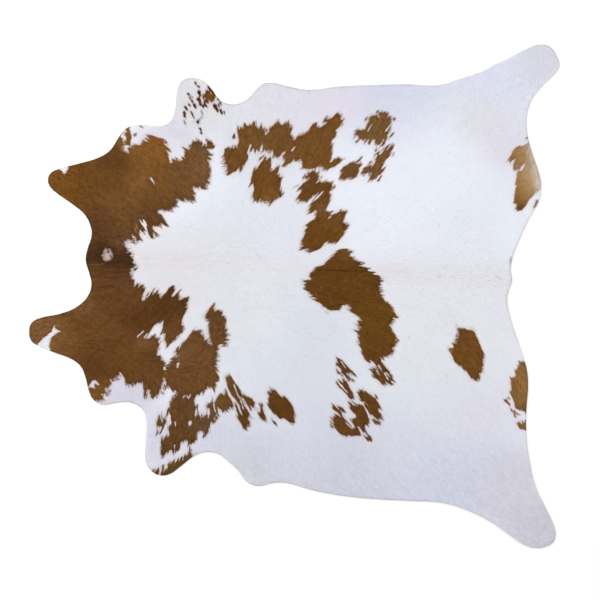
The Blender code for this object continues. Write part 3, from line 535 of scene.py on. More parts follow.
# Slits of white in the brown, in the same terms.
WHITE_STREAKS: str = """
    -18.2 57.1 -17.1 60.5 .8
    -12 56 -10 58.3 .6
    -0.7 58.2 0.6 59.6 .6
    -11.3 64.8 -9.8 66 .6
    9.8 39.8 11.8 41.8 .6
    8.6 38.5 10 39.9 .6
    4.5 46.4 6.2 47 .5
    33.5 73 34.3 71 .5
    36.8 66 38.7 68.3 .6
    34.5 56.8 36.5 58.8 .6
    31.3 53.5 33.5 56.2 .35
    35.6 51.2 37 54.4 .4
    37.6 58.6 39.4 61.4 .4
    35.2 61.2 36.2 62.8 .4
    29.8 66 31.4 68.8 .35
    91 50.6 92.5 53 1.0
    89.6 52.1 90 52.6 .7
    37.2 -30.8 38.6 -32.4 .5
    17.5 -28.8 19.3 -30 .6
    19.2 -31 20.5 -32 .5
    18.2 -35 21.5 -38.6 .5
    28 -43.8 30.7 -48.1 .7
    28.1 -42.3 29.7 -43.8 .3
    26 -40.2 27 -41.7 .3
    -24.5 -40.5 -22 -43.5 .6
    -23.8 -35.6 -21.8 -40.6 .5
    -21.4 -40.4 -20 -45.4 .4
    -22 -44 -20.6 -47.5 .8
    -20.3 -41 -19.3 -44.5 .5
    -57 47 -55.6 44.9 .6
    -66.4 19 -66.4 17.3 .35
    19.3 -26.4 20.9 -29 .4
    17.9 -28.4 19.1 -30 .4
    21.4 -31 22.6 -32.4 .4
    19 -35.4 20.6 -37.6 .5
    34.2 -27.8 35.4 -30.2 .5
    36.6 -31 38 -33.6 .5
    33.4 -29.8 34.6 -31.8 .4
    -35.9 62 -34.8 60.2 .6
    -69.3 -31 -68.3 -32.3 .6
    -61.5 -15.5 -60 -14 .5
    -59.5 -16.5 -58.5 -15 .6
    -62.4 -16.4 -61.2 -15.2 .4
    -46.1 -27.1 -46.5 -28.7 .8
    -44 -40.5 -43 -39.5 .5
    -42 -41 -41 -39 .5
    -42.4 -40.4 -42.2 -40 .5
    -47.3 -50.5 -47.3 -52 .5
    -47.6 -59.7 -47.6 -61 .5
    -32 -43.4 -31.2 -46.3 .5
"""

# Guides for the way the hair lies: along, across, degrees from +X towards +Y.
HAIR_GUIDES: str = """
    -95 47 -20   -85 46 -30   -75 50 -40   -70 35 -50   -60 50 -50   -60 30 -60   -45 50 -55
    -38 50 -50   -45 40 -50   -60 12 0     -32 11 0     -4 10 0      24 9 0       52 8 0
    80 6 0       -20 60 80    -10 62 72    0 60 65      10 60 58     20 60 52     35 60 48
    -10 44 80    8 42 50      12 28 50     32 52 50     60 60 45     80 60 40     60 30 30
    88 50 55     -15 80 90    0 80 80      30 80 60     0 30 30      50 20 12     -30 30 20
    -38 78 120   -38 68 110   98 92 47     -55 0 60     -50 -10 58   -62 -5 60    -60 8 60
    -70 0 45     -78 5 20     -95 -13 10   -85 -20 0    -75 -30 -60  -60 -38 -95  -46 -20 65
    -38 -22 60   -30 -10 62   -36 -40 -100 -45 -55 -105 -40 -45 -100 -50 -68 -110 -24 -40 -60
    -45 -29 0    -37 -28 -5   -30 -26 0    -46 -35 -60  -36 -34 -60  -30 -32 -50
    -18 -45 -58  -5 -45 -52   20 -30 -52   28 -48 -55   20 -50 -55   20 0 -15     30 -15 -30
    36 -33 -52   35 -20 -50   70 -24 -60   90 -38 -55   90 -50 -55   30 -70 -60   0 -65 -70
    60 -70 -55   98 -92 -50   0 -20 -35    -10 -10 -25  60 -10 -20   60 -45 -50   50 -25 -40
"""

# Tones of the white hair: along, across, reach in cm, then red, green, blue from 0 to 255.
# They are partly the hair's own tone and partly painted shade: lighter towards +Y and -X, and
# darker, greyer and bluer towards the -Y edge, as the light falls on the hide.
WHITE_SPOTS_AND_SHADE: str = """
    50 45 24 235 238 245
    -40 38 14 229 232 239
    -30 22 12 223 226 231
    -12 62 10 222 223 229
    -45 12 12 226 225 229
    0 20 12 227 228 236
    -15 -10 14 226 229 233
    0 -25 20 217 220 228
    60 -8 22 228 228 233
    50 -35 22 221 225 231
    70 20 16 229 232 239
    40 82 16 214 216 231
    80 86 10 222 224 238
    100 95 9 218 218 228
    0 82 12 223 221 229
    20 80 8 226 220 231
    -40 78 9 220 220 223
    -50 66 7 219 217 227
    75 70 8 224 223 228
    84 60 7 225 222 233
    88 26 8 236 239 245
    0 -55 16 215 217 227
    20 -70 18 206 206 218
    60 -76 18 208 210 226
    85 -78 10 212 209 218
    99 -94 9 205 203 213
    -14 -66 10 206 205 216
    68 -46 12 223 220 230
    -30 -56 8 213 214 226
    -55 -57 7 217 216 227
    40 -58 12 215 217 228
    -64 -38 6 214 211 224
    -74 -40 5 214 211 224
    -74.3 16.5 4 182 162 156
"""

# Tones of the brown hair, in the same terms.
BROWN_TONES: str = """
    -57 58 7 136 90 34
    -65 60 4 130 90 40
    -70 54 5 88 54 18
    -58 50 9 118 78 34
    -62 46 4 136 92 48
    -95 45 8 120 77 24
    -84 47 8 106 68 20
    -72 48 8 104 68 28
    -64 36 8 116 79 36
    -60 30 5 88 56 32
    -70 26 6 100 65 32
    -78 29 5 92 59 28
    -69 21 3 112 78 52
    -42 50 8 110 75 40
    -36 52 5 122 88 52
    -55 34 7 98 63 28
    -74 17 6 66 40 16
    -66 12 5 80 50 24
    -76 5 7 104 66 30
    -68 6 3 108 70 40
    -70 -6 8 106 69 32
    -66 -8 4 82 48 16
    -60 -12 5 92 56 18
    -60 -18 3 124 86 50
    -50 -6 6 86 52 18
    -48 -13 5 112 72 32
    -84 -14 8 110 72 30
    -84 -3 4 118 84 52
    -90 -18 4 126 86 44
    -100 -15 7 128 88 52
    -80 -26 7 98 62 24
    -74 -28 6 90 55 20
    -68 -24 6 106 70 28
    -75 -38 5 122 82 32
    -45 -22 3 120 88 60
    -45 -42 3 92 60 30
    -36 -51 4 104 76 52
    -56 -28 7 102 66 28
    -30 -14 6 106 70 36
    -40 -26 9 112 75 38
    -44 -46 8 104 70 34
    -47 -58 8 98 66 28
    -46 -68 7 104 74 32
    -30 -44 5 110 76 36
    -20 -46 5 96 62 26
    -5 -44 7 95 60 16
    -24 56 7 114 74 34
    -16 63 6 120 82 40
    -4 62 6 118 80 40
    8 58 8 120 80 34
    -10 46 7 114 74 26
    -9 40 3 128 88 46
    18 68 6 118 77 34
    10 44 6 108 70 26
    12 35 3 118 82 46
    17 30 3 122 80 36
    12 26 8 110 70 20
    34 68 6 122 87 48
    34 52 6 122 86 50
    23 50 5 112 76 40
    22 17 3 122 84 42
    20 8 12 98 62 15
    34 -14 10 103 67 16
    36 -30 6 98 62 22
    22 -30 6 92 60 26
    24 -50 8 98 63 24
    70 -22 8 113 73 27
    86 55 4 140 100 50
    89 44 4 146 104 54
    93 46 4 184 148 96
    97 48 4 204 184 160
    91 57 4 166 130 80
    88 -36 4 138 98 50
    92 -36 5 146 110 62
    90 -50 4 134 98 54
    -36 77 9 66 40 22
    -33.4 79.4 2 150 96 34
    96.5 36.5 2 160 134 108
"""

# Soft lines of another tone in the white: along, across at each end, width in cm, strength from
# 0 to 1, then red, green, blue. The grey line at the tail root, from 81 to 83 along, is painted
# shade in a crease there.
WHITE_STROKES_AND_CREASE_SHADE: str = """
    -64 14.5 -40 14 7 .4 227 221 225
    -40 14 0 12 7 .35 227 222 226
    0 12 36 10 8 .4 226 222 226
    36 10 87 6.5 9 .5 226 222 226
    -75.6 17.6 -76 14.8 1.3 .8 160 142 112
    -75.8 14.3 -73.8 14 1.0 .7 150 130 100
    -74.2 16.8 -73.9 15 .8 .7 228 210 218
    -73 17.8 -72.8 16.6 .5 .7 210 190 200
    -73.8 17.2 -73.4 15.8 .4 .8 128 98 98
    -72.5 16 -72.7 14.6 .6 .8 120 90 76
    -63 15.4 -44 14.4 .4 .16 200 186 190
    -44 14.4 -22 13 .4 .12 204 192 196
    40 9.8 46 9.4 .4 .16 196 186 190
    53 9.2 60 8.6 .4 .14 196 186 190
    64 8.4 76 7.2 .4 .14 196 186 190
    81 7.8 83 6.6 .4 .6 168 156 156
    79 4.4 82 3.6 .4 .22 182 172 174
    80 6 82 5.6 .4 .22 182 172 174
    87 15.5 86.7 13 .6 .8 150 136 134
    12.8 -6.2 14 -7.2 .5 .7 150 134 124
    46 -16.2 46.4 -17 .5 .5 180 172 172
    61.3 12.3 61.7 11.6 .5 .5 180 172 172
    58.2 8 58.5 7.4 .5 .5 180 172 172
    -13.6 15.8 -13.3 15.1 .5 .5 176 166 166
    65.2 -11.4 65.4 -12.2 .5 .6 170 158 150
    0 43.4 2.2 44.4 .6 .7 140 128 124
    -41.5 79.8 -41.6 79 .5 .8 130 124 126
    -39.2 76 -39.1 75.2 .8 .8 130 124 126
    -43.7 69.9 -43.2 68.9 .9 .9 112 104 106
    -36.9 74.1 -36.4 72.6 .6 .9 108 100 96
    -36.8 71.5 -36.8 71.1 .8 .85 112 104 100
    -37.7 70.7 -37.8 70.3 .8 .9 100 88 70
    -39.9 69.8 -39.9 69.4 .7 .4 150 146 150
    -31 80.2 -30.3 79.4 .5 .7 130 124 122
    -27.7 73.8 -27.5 73 .7 .7 130 124 122
    -29.3 77.4 -29 76.8 .7 .7 130 124 122
    -35.7 86 -35.7 85.6 .7 .4 150 146 150
"""

# Soft lines in the brown, in the same terms.
BROWN_STROKES: str = """
    8 10.6 24 10 .7 .7 66 36 14
    24 10 31 9.9 .6 .5 70 40 18
    -82 15 -66 14 8 .6 66 40 20
    -82 12.4 -76 12.6 .8 .6 118 78 36
    -76 10.6 -66 10.4 .7 .5 112 74 36
    -82 8 -70 7 .8 .6 66 40 20
    -81 3 -72 4 .8 .5 70 44 24
    -81 -1 -74 0 .7 .4 76 48 26
    91.8 58 95 43 7 .6 174 140 94
    95 60 98.4 44 4.6 .9 208 192 180
    95 62.6 93.2 61.4 2 .6 190 164 140
    -60.9 67.7 -60.2 67.2 1 .85 104 92 92
    -63.4 64.2 -62.8 65 1.1 .8 108 94 92
    -63.6 27.5 -62.8 25.4 .4 .7 170 128 92
    -63.2 29 -62.4 27 .4 .7 170 128 92
    -68.5 59.4 -68.5 58.5 .5 .8 190 150 116
    -43.5 57.8 -43.3 57.4 .5 .7 180 140 110
    -40.4 42.9 -40.4 42.5 .5 .7 176 134 100
    -45.9 -23.1 -46.1 -25.8 .5 .7 160 128 98
    -50.9 -30.5 -50.9 -31 .5 .7 150 108 78
"""


class CoatColour(Enum):
    """The two colours of the coat."""

    WHITE = "white"
    BROWN = "brown"


class Draw(IntEnum):
    """The random draws. Each has its own source of chance, at this distance from the seed."""

    LOCKS = 0
    WANDER = 1
    SMALL_WANDER = 2
    FINE = 3
    BROAD = 4
    TUFTS = 5
    TICKS = 6
    WAVE = 11
    SMALL_WAVE = 12
    CLOUDS = 21
    SMALL_CLOUDS = 22

    def source(self) -> np.random.Generator:
        """Return its source of chance, at the start."""
        return np.random.default_rng(SEED + self)


def on_hide(places: Array) -> Array:
    """Turn places on the drawing, in centimetres, into metres in the hide's frame."""
    return (np.asarray(places, float) + DRAWING_SHIFT_CM) * CENTIMETRE


def drawn_points(text: str) -> Array:
    """Read a table of "along,across" points and turn them into places on the hide."""
    return on_hide([point.split(",") for point in text.split()])


def drawn_rows(text: str, width: int) -> Array:
    """Read a table of plain numbers, so many to a row, as they are written."""
    return np.array(text.split(), float).reshape(-1, width)


def linear(colour: Array) -> Array:
    """Turn screen colours from 0 to 255 into linear ones from 0 to 1."""
    share = np.asarray(colour, float) / 255.0
    return np.where(share <= 0.04045, share / 12.92, ((share + 0.055) / 1.055) ** 2.4)


@dataclass(frozen=True)
class Hills:
    """Soft random hills and hollows over the whole hide, in any measure."""

    height: float
    size: float                     # from one hill to the next, in metres
    draw: Draw
    half_width: float = 3.0         # metres that they cover, each way from the origin

    def at(self, x: Array, y: Array) -> Array:
        """Return how high they are at a set of places.

        Args:
            x: Places along the spine, in metres.
            y: Places across it, in metres.

        Returns:
            Values of up to about the height, above and below 0, one per place.
        """
        count = int(2 * self.half_width / self.size) + 4        # with some to spare
        lattice = self.draw.source().uniform(-1.0, 1.0, (count, count))
        last = count - 2.001        # just inside the lattice
        u, v = (np.clip((places + self.half_width) / self.size, 0, last) for places in (x, y))
        i, j = u.astype(int), v.astype(int)
        s, t = u - i, v - j
        s, t = s * s * (3 - 2 * s), t * t * (3 - 2 * t)
        low = lattice[j, i] * (1 - s) + lattice[j, i + 1] * s
        high = lattice[j + 1, i] * (1 - s) + lattice[j + 1, i + 1] * s
        return self.height * (low * (1 - t) + high * t)


def gap_to(x: Array, y: Array, point: Array) -> Array:
    """Return how far places on the hide are from a point of the drawing, in metres."""
    along, across = on_hide(point)
    return np.hypot(x - along, y - across)


def beside_line(x: Array, y: Array, ends: Array) -> tuple[Array, Array]:
    """Compare places with a straight line.

    Args:
        x: Places along the spine.
        y: Places across it.
        ends: The line's two ends, one row each.

    Returns:
        How far along the line each place lies, from 0 to 1, and its distance from the line.
    """
    run = ends[1] - ends[0]
    share = ((x - ends[0, 0]) * run[0] + (y - ends[0, 1]) * run[1]) / (run @ run)
    share = np.clip(share, 0, 1)
    return share, np.hypot(x - ends[0, 0] - share * run[0], y - ends[0, 1] - share * run[1])


def merged_solid() -> bmesh.types.BMesh:
    """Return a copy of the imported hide, with its doubles merged."""
    shell = bmesh.new()
    shell.from_mesh(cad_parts["hide"].data)
    bmesh.ops.remove_doubles(shell, verts=shell.verts, dist=MERGE_DISTANCE)
    return shell


@dataclass
class CellGrid:
    """Square cells over the whole hide, on which masks and fields are drawn."""

    low: Array
    high: Array
    cell: float
    columns: int = field(init=False)
    rows: int = field(init=False)

    def __post_init__(self) -> None:
        """Work out how many cells cover the hide."""
        self.columns = int(math.ceil((self.high[0] - self.low[0]) / self.cell))
        self.rows = int(math.ceil((self.high[1] - self.low[1]) / self.cell))

    def empty(self) -> Array:
        """Return a mask with nothing in it."""
        return np.zeros((self.rows, self.columns), bool)

    def centres(self) -> tuple[Array, Array]:
        """Return the places of all cell centres, along and across."""
        xs = self.low[0] + (np.arange(self.columns) + 0.5) * self.cell
        ys = self.low[1] + (np.arange(self.rows) + 0.5) * self.cell
        return tuple(np.meshgrid(xs, ys))

    def at(self, values: Array, x: Array, y: Array) -> Array:
        """Look up the cell that holds each place.

        Args:
            values: A mask or field on this grid.
            x: Places along the spine.
            y: Places across it.

        Returns:
            One value per place. A place outside the grid takes the nearest cell.
        """
        column = np.clip(((x - self.low[0]) / self.cell).astype(int), 0, self.columns - 1)
        row = np.clip(((y - self.low[1]) / self.cell).astype(int), 0, self.rows - 1)
        return values[row, column]

    def fill(self, mask: Array, loop: Array, value: bool) -> None:
        """Fill a closed outline.

        Args:
            mask: The mask that changes.
            loop: The outline's points in metres.
            value: What its inside becomes.
        """
        xs = (loop[:, 0] - self.low[0]) / self.cell - 0.5
        ys = (loop[:, 1] - self.low[1]) / self.cell - 0.5
        next_xs, next_ys = np.roll(xs, -1), np.roll(ys, -1)
        first = max(0, math.ceil(ys.min()))
        last = min(self.rows - 1, math.floor(ys.max()))
        for row in range(first, last + 1):
            over = (ys <= row) != (next_ys <= row)
            rise = (row - ys[over]) / (next_ys[over] - ys[over])
            crossings = np.sort(xs[over] + rise * (next_xs[over] - xs[over]))
            for left, right in zip(crossings[0::2], crossings[1::2]):
                mask[row, max(0, math.ceil(left)) : max(0, math.floor(right) + 1)] = value

    def stroke(self, mask: Array, row: Array, value: bool) -> None:
        """Draw one tapering lock or slit.

        Args:
            mask: The mask that changes.
            row: Root and tip on the drawing, and the width, in centimetres.
            value: What its inside becomes.
        """
        ends, width = on_hide(row[:4].reshape(2, 2)), row[4] * CENTIMETRE
        first = np.maximum(((ends.min(0) - width - self.low) / self.cell).astype(int), 0)
        last = ((ends.max(0) + width - self.low) / self.cell).astype(int) + 1
        last = np.minimum(last, (self.columns, self.rows))
        columns, rows = (part.ravel() for part in np.meshgrid(*map(np.arange, first, last)))
        x = self.low[0] + (columns + 0.5) * self.cell
        y = self.low[1] + (rows + 0.5) * self.cell
        share, distance = beside_line(x, y, ends)
        inside = distance <= width * 0.5 * (LOCK_ROOT - LOCK_TAPER * share)
        mask[rows[inside], columns[inside]] = value

    def soften(self, values: Array, radius: float) -> Array:
        """Blur a mask or field with a square brush, twice.

        Args:
            values: What is blurred.
            radius: Half the brush, in metres.

        Returns:
            The blurred field.
        """
        reach = max(1, round(radius / self.cell))
        span = 2 * reach + 1
        result = values.astype(np.float32)
        for _ in range(4):      # each turn also lays the field on its side
            padded = np.pad(result, ((reach + 1, reach), (0, 0)), mode="edge")
            total = np.cumsum(padded, axis=0, dtype=np.float64)
            result = ((total[span:] - total[:-span]) / span).astype(np.float32).T.copy()
        return result


@dataclass
class HideOutline:
    """The hide's own edge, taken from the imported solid."""

    mid_height: float = 0.003
    border: float = 0.01
    loop: Array = field(init=False)

    def __post_init__(self) -> None:
        """Cut a copy of the solid at mid height and order the cut's points."""
        shell = merged_solid()
        bmesh.ops.bisect_plane(
            shell,
            geom=shell.verts[:] + shell.edges[:] + shell.faces[:],
            plane_co=(0, 0, self.mid_height),
            plane_no=(0, 0, 1),
            clear_inner=True,
            clear_outer=True,
        )
        start = shell.verts[:][0]
        ordered, edge, vertex = [], start.link_edges[0], start
        while True:
            ordered.append((vertex.co.x, vertex.co.y))
            vertex = edge.other_vert(vertex)
            if vertex == start:
                break
            edge = next(other for other in vertex.link_edges if other != edge)
        shell.free()
        self.loop = np.array(ordered)

    def grid(self, cell: float) -> CellGrid:
        """Return cells of one size over the whole hide and a border round it."""
        return CellGrid(self.loop.min(0) - self.border, self.loop.max(0) + self.border, cell)


@dataclass
class HairFlow:
    """The way the coat lies, and the streaks that it is combed into."""

    outline: HideOutline
    cell: float = 0.002
    blend_power: float = 3.0
    blend_core: float = 0.02        # eases the pull of a guide close to it
    wander: tuple[Hills, ...] = (   # how far the hair turns from the way the guides give
        Hills(math.radians(9.0), 0.09, Draw.WANDER),
        Hills(math.radians(4.5), 0.03, Draw.SMALL_WANDER),
    )
    grid: CellGrid = field(init=False)
    ahead: tuple[Array, Array] = field(init=False)
    fine: Array = field(init=False)
    ticks: Array = field(init=False)
    tufts: Array = field(init=False)
    broad: Array = field(init=False)

    def __post_init__(self) -> None:
        """Blend the guides over the hide and draw every kind of streak."""
        self.grid = self.outline.grid(self.cell)
        x, y = self.grid.centres()
        east, north = np.zeros_like(x), np.zeros_like(y)
        for along, across, degrees in drawn_rows(HAIR_GUIDES, 3):
            gap = gap_to(x, y, (along, across))
            weight = 1.0 / (gap + self.blend_core) ** self.blend_power
            east += weight * math.cos(math.radians(degrees))
            north += weight * math.sin(math.radians(degrees))
        turn = np.arctan2(north, east)
        for hills in self.wander:
            turn += hills.at(x, y)
        self.ahead = (np.cos(turn), np.sin(turn))
        self.fine = self.combed(Draw.FINE, brush=0.0, steps=6)
        self.broad = self.combed(Draw.BROAD, brush=0.006, steps=22)
        self.tufts = self.combed(Draw.TUFTS, brush=0.002, steps=8)
        self.ticks = self.combed(Draw.TICKS, brush=0.002, steps=1)

    def combed(self, draw: Draw, brush: float, steps: int) -> Array:
        """Smear random grain along the hair.

        Args:
            draw: The random draw.
            brush: Width of a streak beyond one cell, in metres.
            steps: Cells walked each way.

        Returns:
            Streaks with a mean of 0 and a spread of 1.
        """
        grain = draw.source().normal(size=(self.grid.rows, self.grid.columns))
        if brush > 0:
            grain = self.grid.soften(grain, brush)
        x, y = self.grid.centres()
        total = grain.astype(np.float32)
        for sign in (1.0, -1.0):
            walk_x, walk_y = x.copy(), y.copy()
            for _ in range(steps):
                walk_x += sign * self.cell * self.grid.at(self.ahead[0], walk_x, walk_y)
                walk_y += sign * self.cell * self.grid.at(self.ahead[1], walk_x, walk_y)
                total += self.grid.at(grain, walk_x, walk_y)
        return (total - total.mean()) / total.std()


@dataclass
class Markings:
    """Where the coat is brown and where it is white, drawn on fine cells."""

    outline: HideOutline
    flow: HairFlow
    cell: float = 0.001
    tuft_fray: float = 0.0022   # how far the tufts push the drawn border along the hair
    fine_fray: float = 0.0068   # and how far the fine streaks do
    most_fray: float = 1.7      # limit of both, as a multiple
    small_fray: float = 0.45    # how much of it the small patches take
    near: float = 0.003         # how far a lock may run into the other colour
    glow: float = 0.008         # half the reach of the brown's warmth over the white
    edge_reach: float = 0.0015  # how softly the hide ends under a lock
    rim_reach: float = 0.006    # half the width of the trimmed rim
    grid: CellGrid = field(init=False)
    hide: Array = field(init=False)
    brown: Array = field(init=False)
    hide_soft: Array = field(init=False)
    brown_soft: Array = field(init=False)
    brown_glow: Array = field(init=False)
    rim_soft: Array = field(init=False)

    def __post_init__(self) -> None:
        """Draw and fray the patches, cut the gaps and slits, and add the single locks."""
        self.grid = self.outline.grid(self.cell)
        self.hide = self.grid.empty()
        self.grid.fill(self.hide, self.outline.loop, True)
        self.brown = self.frayed(BROWN_PATCHES, 1.0) | self.frayed(SMALL_PATCHES, self.small_fray)
        for text in WHITE_GAPS.values():
            self.grid.fill(self.brown, drawn_points(text), False)
        for text, value in ((WHITE_STREAKS, False), (BROWN_STREAKS, True)):
            for row in drawn_rows(text, 5):
                self.grid.stroke(self.brown, row, value)
        self.brown_soft = self.grid.soften(self.brown, self.near)
        self.brown_glow = self.grid.soften(self.brown, self.glow)
        self.hide_soft = self.grid.soften(self.hide, self.edge_reach)
        self.rim_soft = self.grid.soften(self.hide, self.rim_reach)

    def frayed(self, patches: dict[str, str], share: float) -> Array:
        """Draw patches, with their border pushed back and forth along the hair, tuft by tuft.

        Args:
            patches: The outlines that are filled.
            share: How much of the full fray they take.

        Returns:
            The mask of the patches.
        """
        mask = self.grid.empty()
        for text in patches.values():
            self.grid.fill(mask, drawn_points(text), True)
        x, y = self.grid.centres()
        flow, most = self.flow, self.most_fray
        by_tufts, by_streaks = (
            reach * np.clip(flow.grid.at(streaks, x, y), -most, most)
            for streaks, reach in ((flow.tufts, self.tuft_fray), (flow.fine, self.fine_fray))
        )
        shift = (by_tufts + by_streaks) * share
        east, north = (flow.grid.at(part, x, y) for part in flow.ahead)
        return self.grid.at(mask, x - east * shift, y - north * shift)

    def share_brown(self) -> float:
        """Return how much of the hide is brown, in hundredths."""
        return 100 * (self.brown & self.hide).sum() / self.hide.sum()


@dataclass(frozen=True)
class Palette:
    """Tones of one coat colour, as spots and soft lines over a general tone."""

    general: Colour
    spots: str
    strokes: str
    general_weight: float = 0.05    # against 1 in the middle of a spot

    def tones(self, x: Array, y: Array) -> Array:
        """Blend the tones for a set of places.

        Args:
            x: Places along the spine.
            y: Places across it.

        Returns:
            Linear red, green and blue, one row per place.
        """
        total = np.tile(linear(self.general) * self.general_weight, (len(x), 1))
        weights = np.full(len(x), self.general_weight)
        for along, across, reach, *rgb in drawn_rows(self.spots, 6):
            gap = gap_to(x, y, (along, across))
            weight = np.exp(-((gap / (reach * CENTIMETRE)) ** 2))
            total += weight[:, None] * linear(rgb)
            weights += weight
        result = total / weights[:, None]
        for *line, width, strength, red, green, blue in drawn_rows(self.strokes, 9):
            _, gap = beside_line(x, y, on_hide((line[:2], line[2:])))
            weight = strength * np.exp(-((gap / (width * 0.5 * CENTIMETRE)) ** 2))
            result += weight[:, None] * (linear((red, green, blue)) - result)
        return result


class MaterialSketch:
    """A material that is being put together."""

    def __init__(self, name: str) -> None:
        """Start the material with its plain shader."""
        self.material = bpy.data.materials.new(name)
        self.material.use_nodes = True
        self.tree = self.material.node_tree
        self.shader = self.tree.nodes["Principled BSDF"]

    def fit(self, node: bpy.types.Node, inputs: dict) -> None:
        """Fill a node's inputs.

        Args:
            node: The node.
            inputs: A socket to link or a value to set, by the input's name or number.
        """
        for name, value in inputs.items():
            if isinstance(value, bpy.types.NodeSocket):
                self.tree.links.new(value, node.inputs[name])
            else:
                node.inputs[name].default_value = value

    def add(self, kind: str, inputs: dict, **settings: str) -> bpy.types.Node:
        """Add a node.

        Args:
            kind: Its type, without the word that all shader nodes share.
            inputs: What goes into it, as fit takes it.
            settings: Its other properties.

        Returns:
            The node.
        """
        node = self.tree.nodes.new(f"ShaderNode{kind}")
        for name, value in settings.items():
            setattr(node, name, value)
        self.fit(node, inputs)
        return node


@dataclass(frozen=True)
class CoatFinish:
    """How the hair of one colour takes the light."""

    name: str
    streak_low: float
    streak_high: float
    roughness: float
    specular: float
    sheen: float
    bump: float
    bump_depth: float = 0.0003
    gloss_swing: float = 0.08

    def material(self) -> bpy.types.Material:
        """Make the hair's material: tone, with its painted shade, times fine strands along each
        lock.
        """
        sketch = MaterialSketch(self.name)
        place = sketch.add("UVMap", {}, uv_map="strand")
        stretch = sketch.add("Mapping", {"Vector": place.outputs["UV"], "Scale": (9.0, 0.8, 1.0)})
        strands = sketch.add("TexNoise", {
            "Vector": stretch.outputs["Vector"], "Scale": 1.0, "Detail": 3.0, "Roughness": 0.6,
        }).outputs["Fac"]
        shade = sketch.add("MapRange", {
            "Value": strands, "From Min": 0.25, "From Max": 0.75,
            "To Min": self.streak_low, "To Max": self.streak_high,
        })
        tone = sketch.add("Attribute", {}, attribute_name="coat_tone")
        tint = sketch.add(
            "VectorMath", {0: tone.outputs["Color"], "Scale": shade.outputs["Result"]},
            operation="SCALE",
        )
        gloss = sketch.add("MapRange", {
            "Value": strands, "From Min": 0.3, "From Max": 0.7,
            "To Min": self.roughness + self.gloss_swing,
            "To Max": self.roughness - self.gloss_swing,
        })
        bump = sketch.add("Bump", {
            "Height": strands, "Strength": self.bump, "Distance": self.bump_depth,
        })
        sketch.fit(sketch.shader, {
            "Base Color": tint.outputs["Vector"], "Roughness": gloss.outputs["Result"],
            "Specular IOR Level": self.specular, "Sheen Weight": self.sheen,
            "Sheen Roughness": 0.5, "Normal": bump.outputs["Normal"],
        })
        return sketch.material


@dataclass(frozen=True)
class LeatherFinish:
    """One side of the tanned leather."""

    name: str
    light: Colour
    dark: Colour
    grain: float
    bump: float
    toned: bool = False
    bump_depth: float = 0.0006
    cloud_share: float = 0.55       # the rest of the pattern is nap

    def material(self) -> bpy.types.Material:
        """Make the leather's material: cloudy colour with a fine nap or grain."""
        sketch = MaterialSketch(self.name)
        place = sketch.add("TexCoord", {}).outputs["Object"]
        nap = sketch.add("TexNoise", {
            "Vector": place, "Scale": self.grain, "Detail": 6.0, "Roughness": 0.65,
        }).outputs["Fac"]
        clouds = sketch.add("TexNoise", {"Vector": place, "Scale": 7.0, "Detail": 5.0})
        nap_part = sketch.add("Math", {0: nap, 1: 1 - self.cloud_share}, operation="MULTIPLY")
        both = sketch.add("Math", {
            0: clouds.outputs["Fac"], 1: self.cloud_share, 2: nap_part.outputs["Value"],
        }, operation="MULTIPLY_ADD")
        ramp = sketch.add("ValToRGB", {"Fac": both.outputs["Value"]})
        steps = ((0.35, self.dark), (0.65, self.light))
        for element, (position, colour) in zip(ramp.color_ramp.elements, steps):
            element.position = position
            element.color = (*linear(colour), 1.0)
        shown = ramp.outputs["Color"]
        if self.toned:
            # The skin's tone attribute carries painted shade between the hairs.
            tone = sketch.add("Attribute", {}, attribute_name="skin_tone")
            shown = sketch.add(
                "VectorMath", {0: tone.outputs["Color"], 1: shown}, operation="MULTIPLY"
            ).outputs["Vector"]
        dull = sketch.add("MapRange", {"Value": nap, "To Min": 0.75, "To Max": 0.95})
        bump = sketch.add("Bump", {
            "Height": nap, "Strength": self.bump, "Distance": self.bump_depth,
        })
        sketch.fit(sketch.shader, {
            "Base Color": shown, "Roughness": dull.outputs["Result"], "Specular IOR Level": 0.15,
            "Sheen Weight": 0.2, "Normal": bump.outputs["Normal"],
        })
        return sketch.material


# The white palette carries painted shade as well as the white hair's own tones.
WHITE_PALETTE_WITH_SHADE = Palette((229, 232, 240), WHITE_SPOTS_AND_SHADE, WHITE_STROKES_AND_CREASE_SHADE)
BROWN_PALETTE = Palette((106, 70, 33), BROWN_TONES, BROWN_STROKES)
WHITE_HAIR = CoatFinish(
    "white_hair",
    streak_low=0.95,
    streak_high=1.04,
    roughness=0.6,
    specular=0.15,
    sheen=0.05,
    bump=0.2,
)
BROWN_HAIR = CoatFinish(
    "brown_hair",
    streak_low=0.82,
    streak_high=1.16,
    roughness=0.55,
    specular=0.08,
    sheen=0.0,
    bump=0.35,
)
HAIR = {CoatColour.WHITE: WHITE_HAIR, CoatColour.BROWN: BROWN_HAIR}
HAIR_SIDE = LeatherFinish(
    "skin_hair_side", (235, 232, 230), (200, 196, 194), grain=300.0, bump=0.3, toned=True
)
FLESH_SIDE = LeatherFinish(
    "suede_flesh_side", (214, 200, 180), (182, 164, 140), grain=900.0, bump=0.6
)


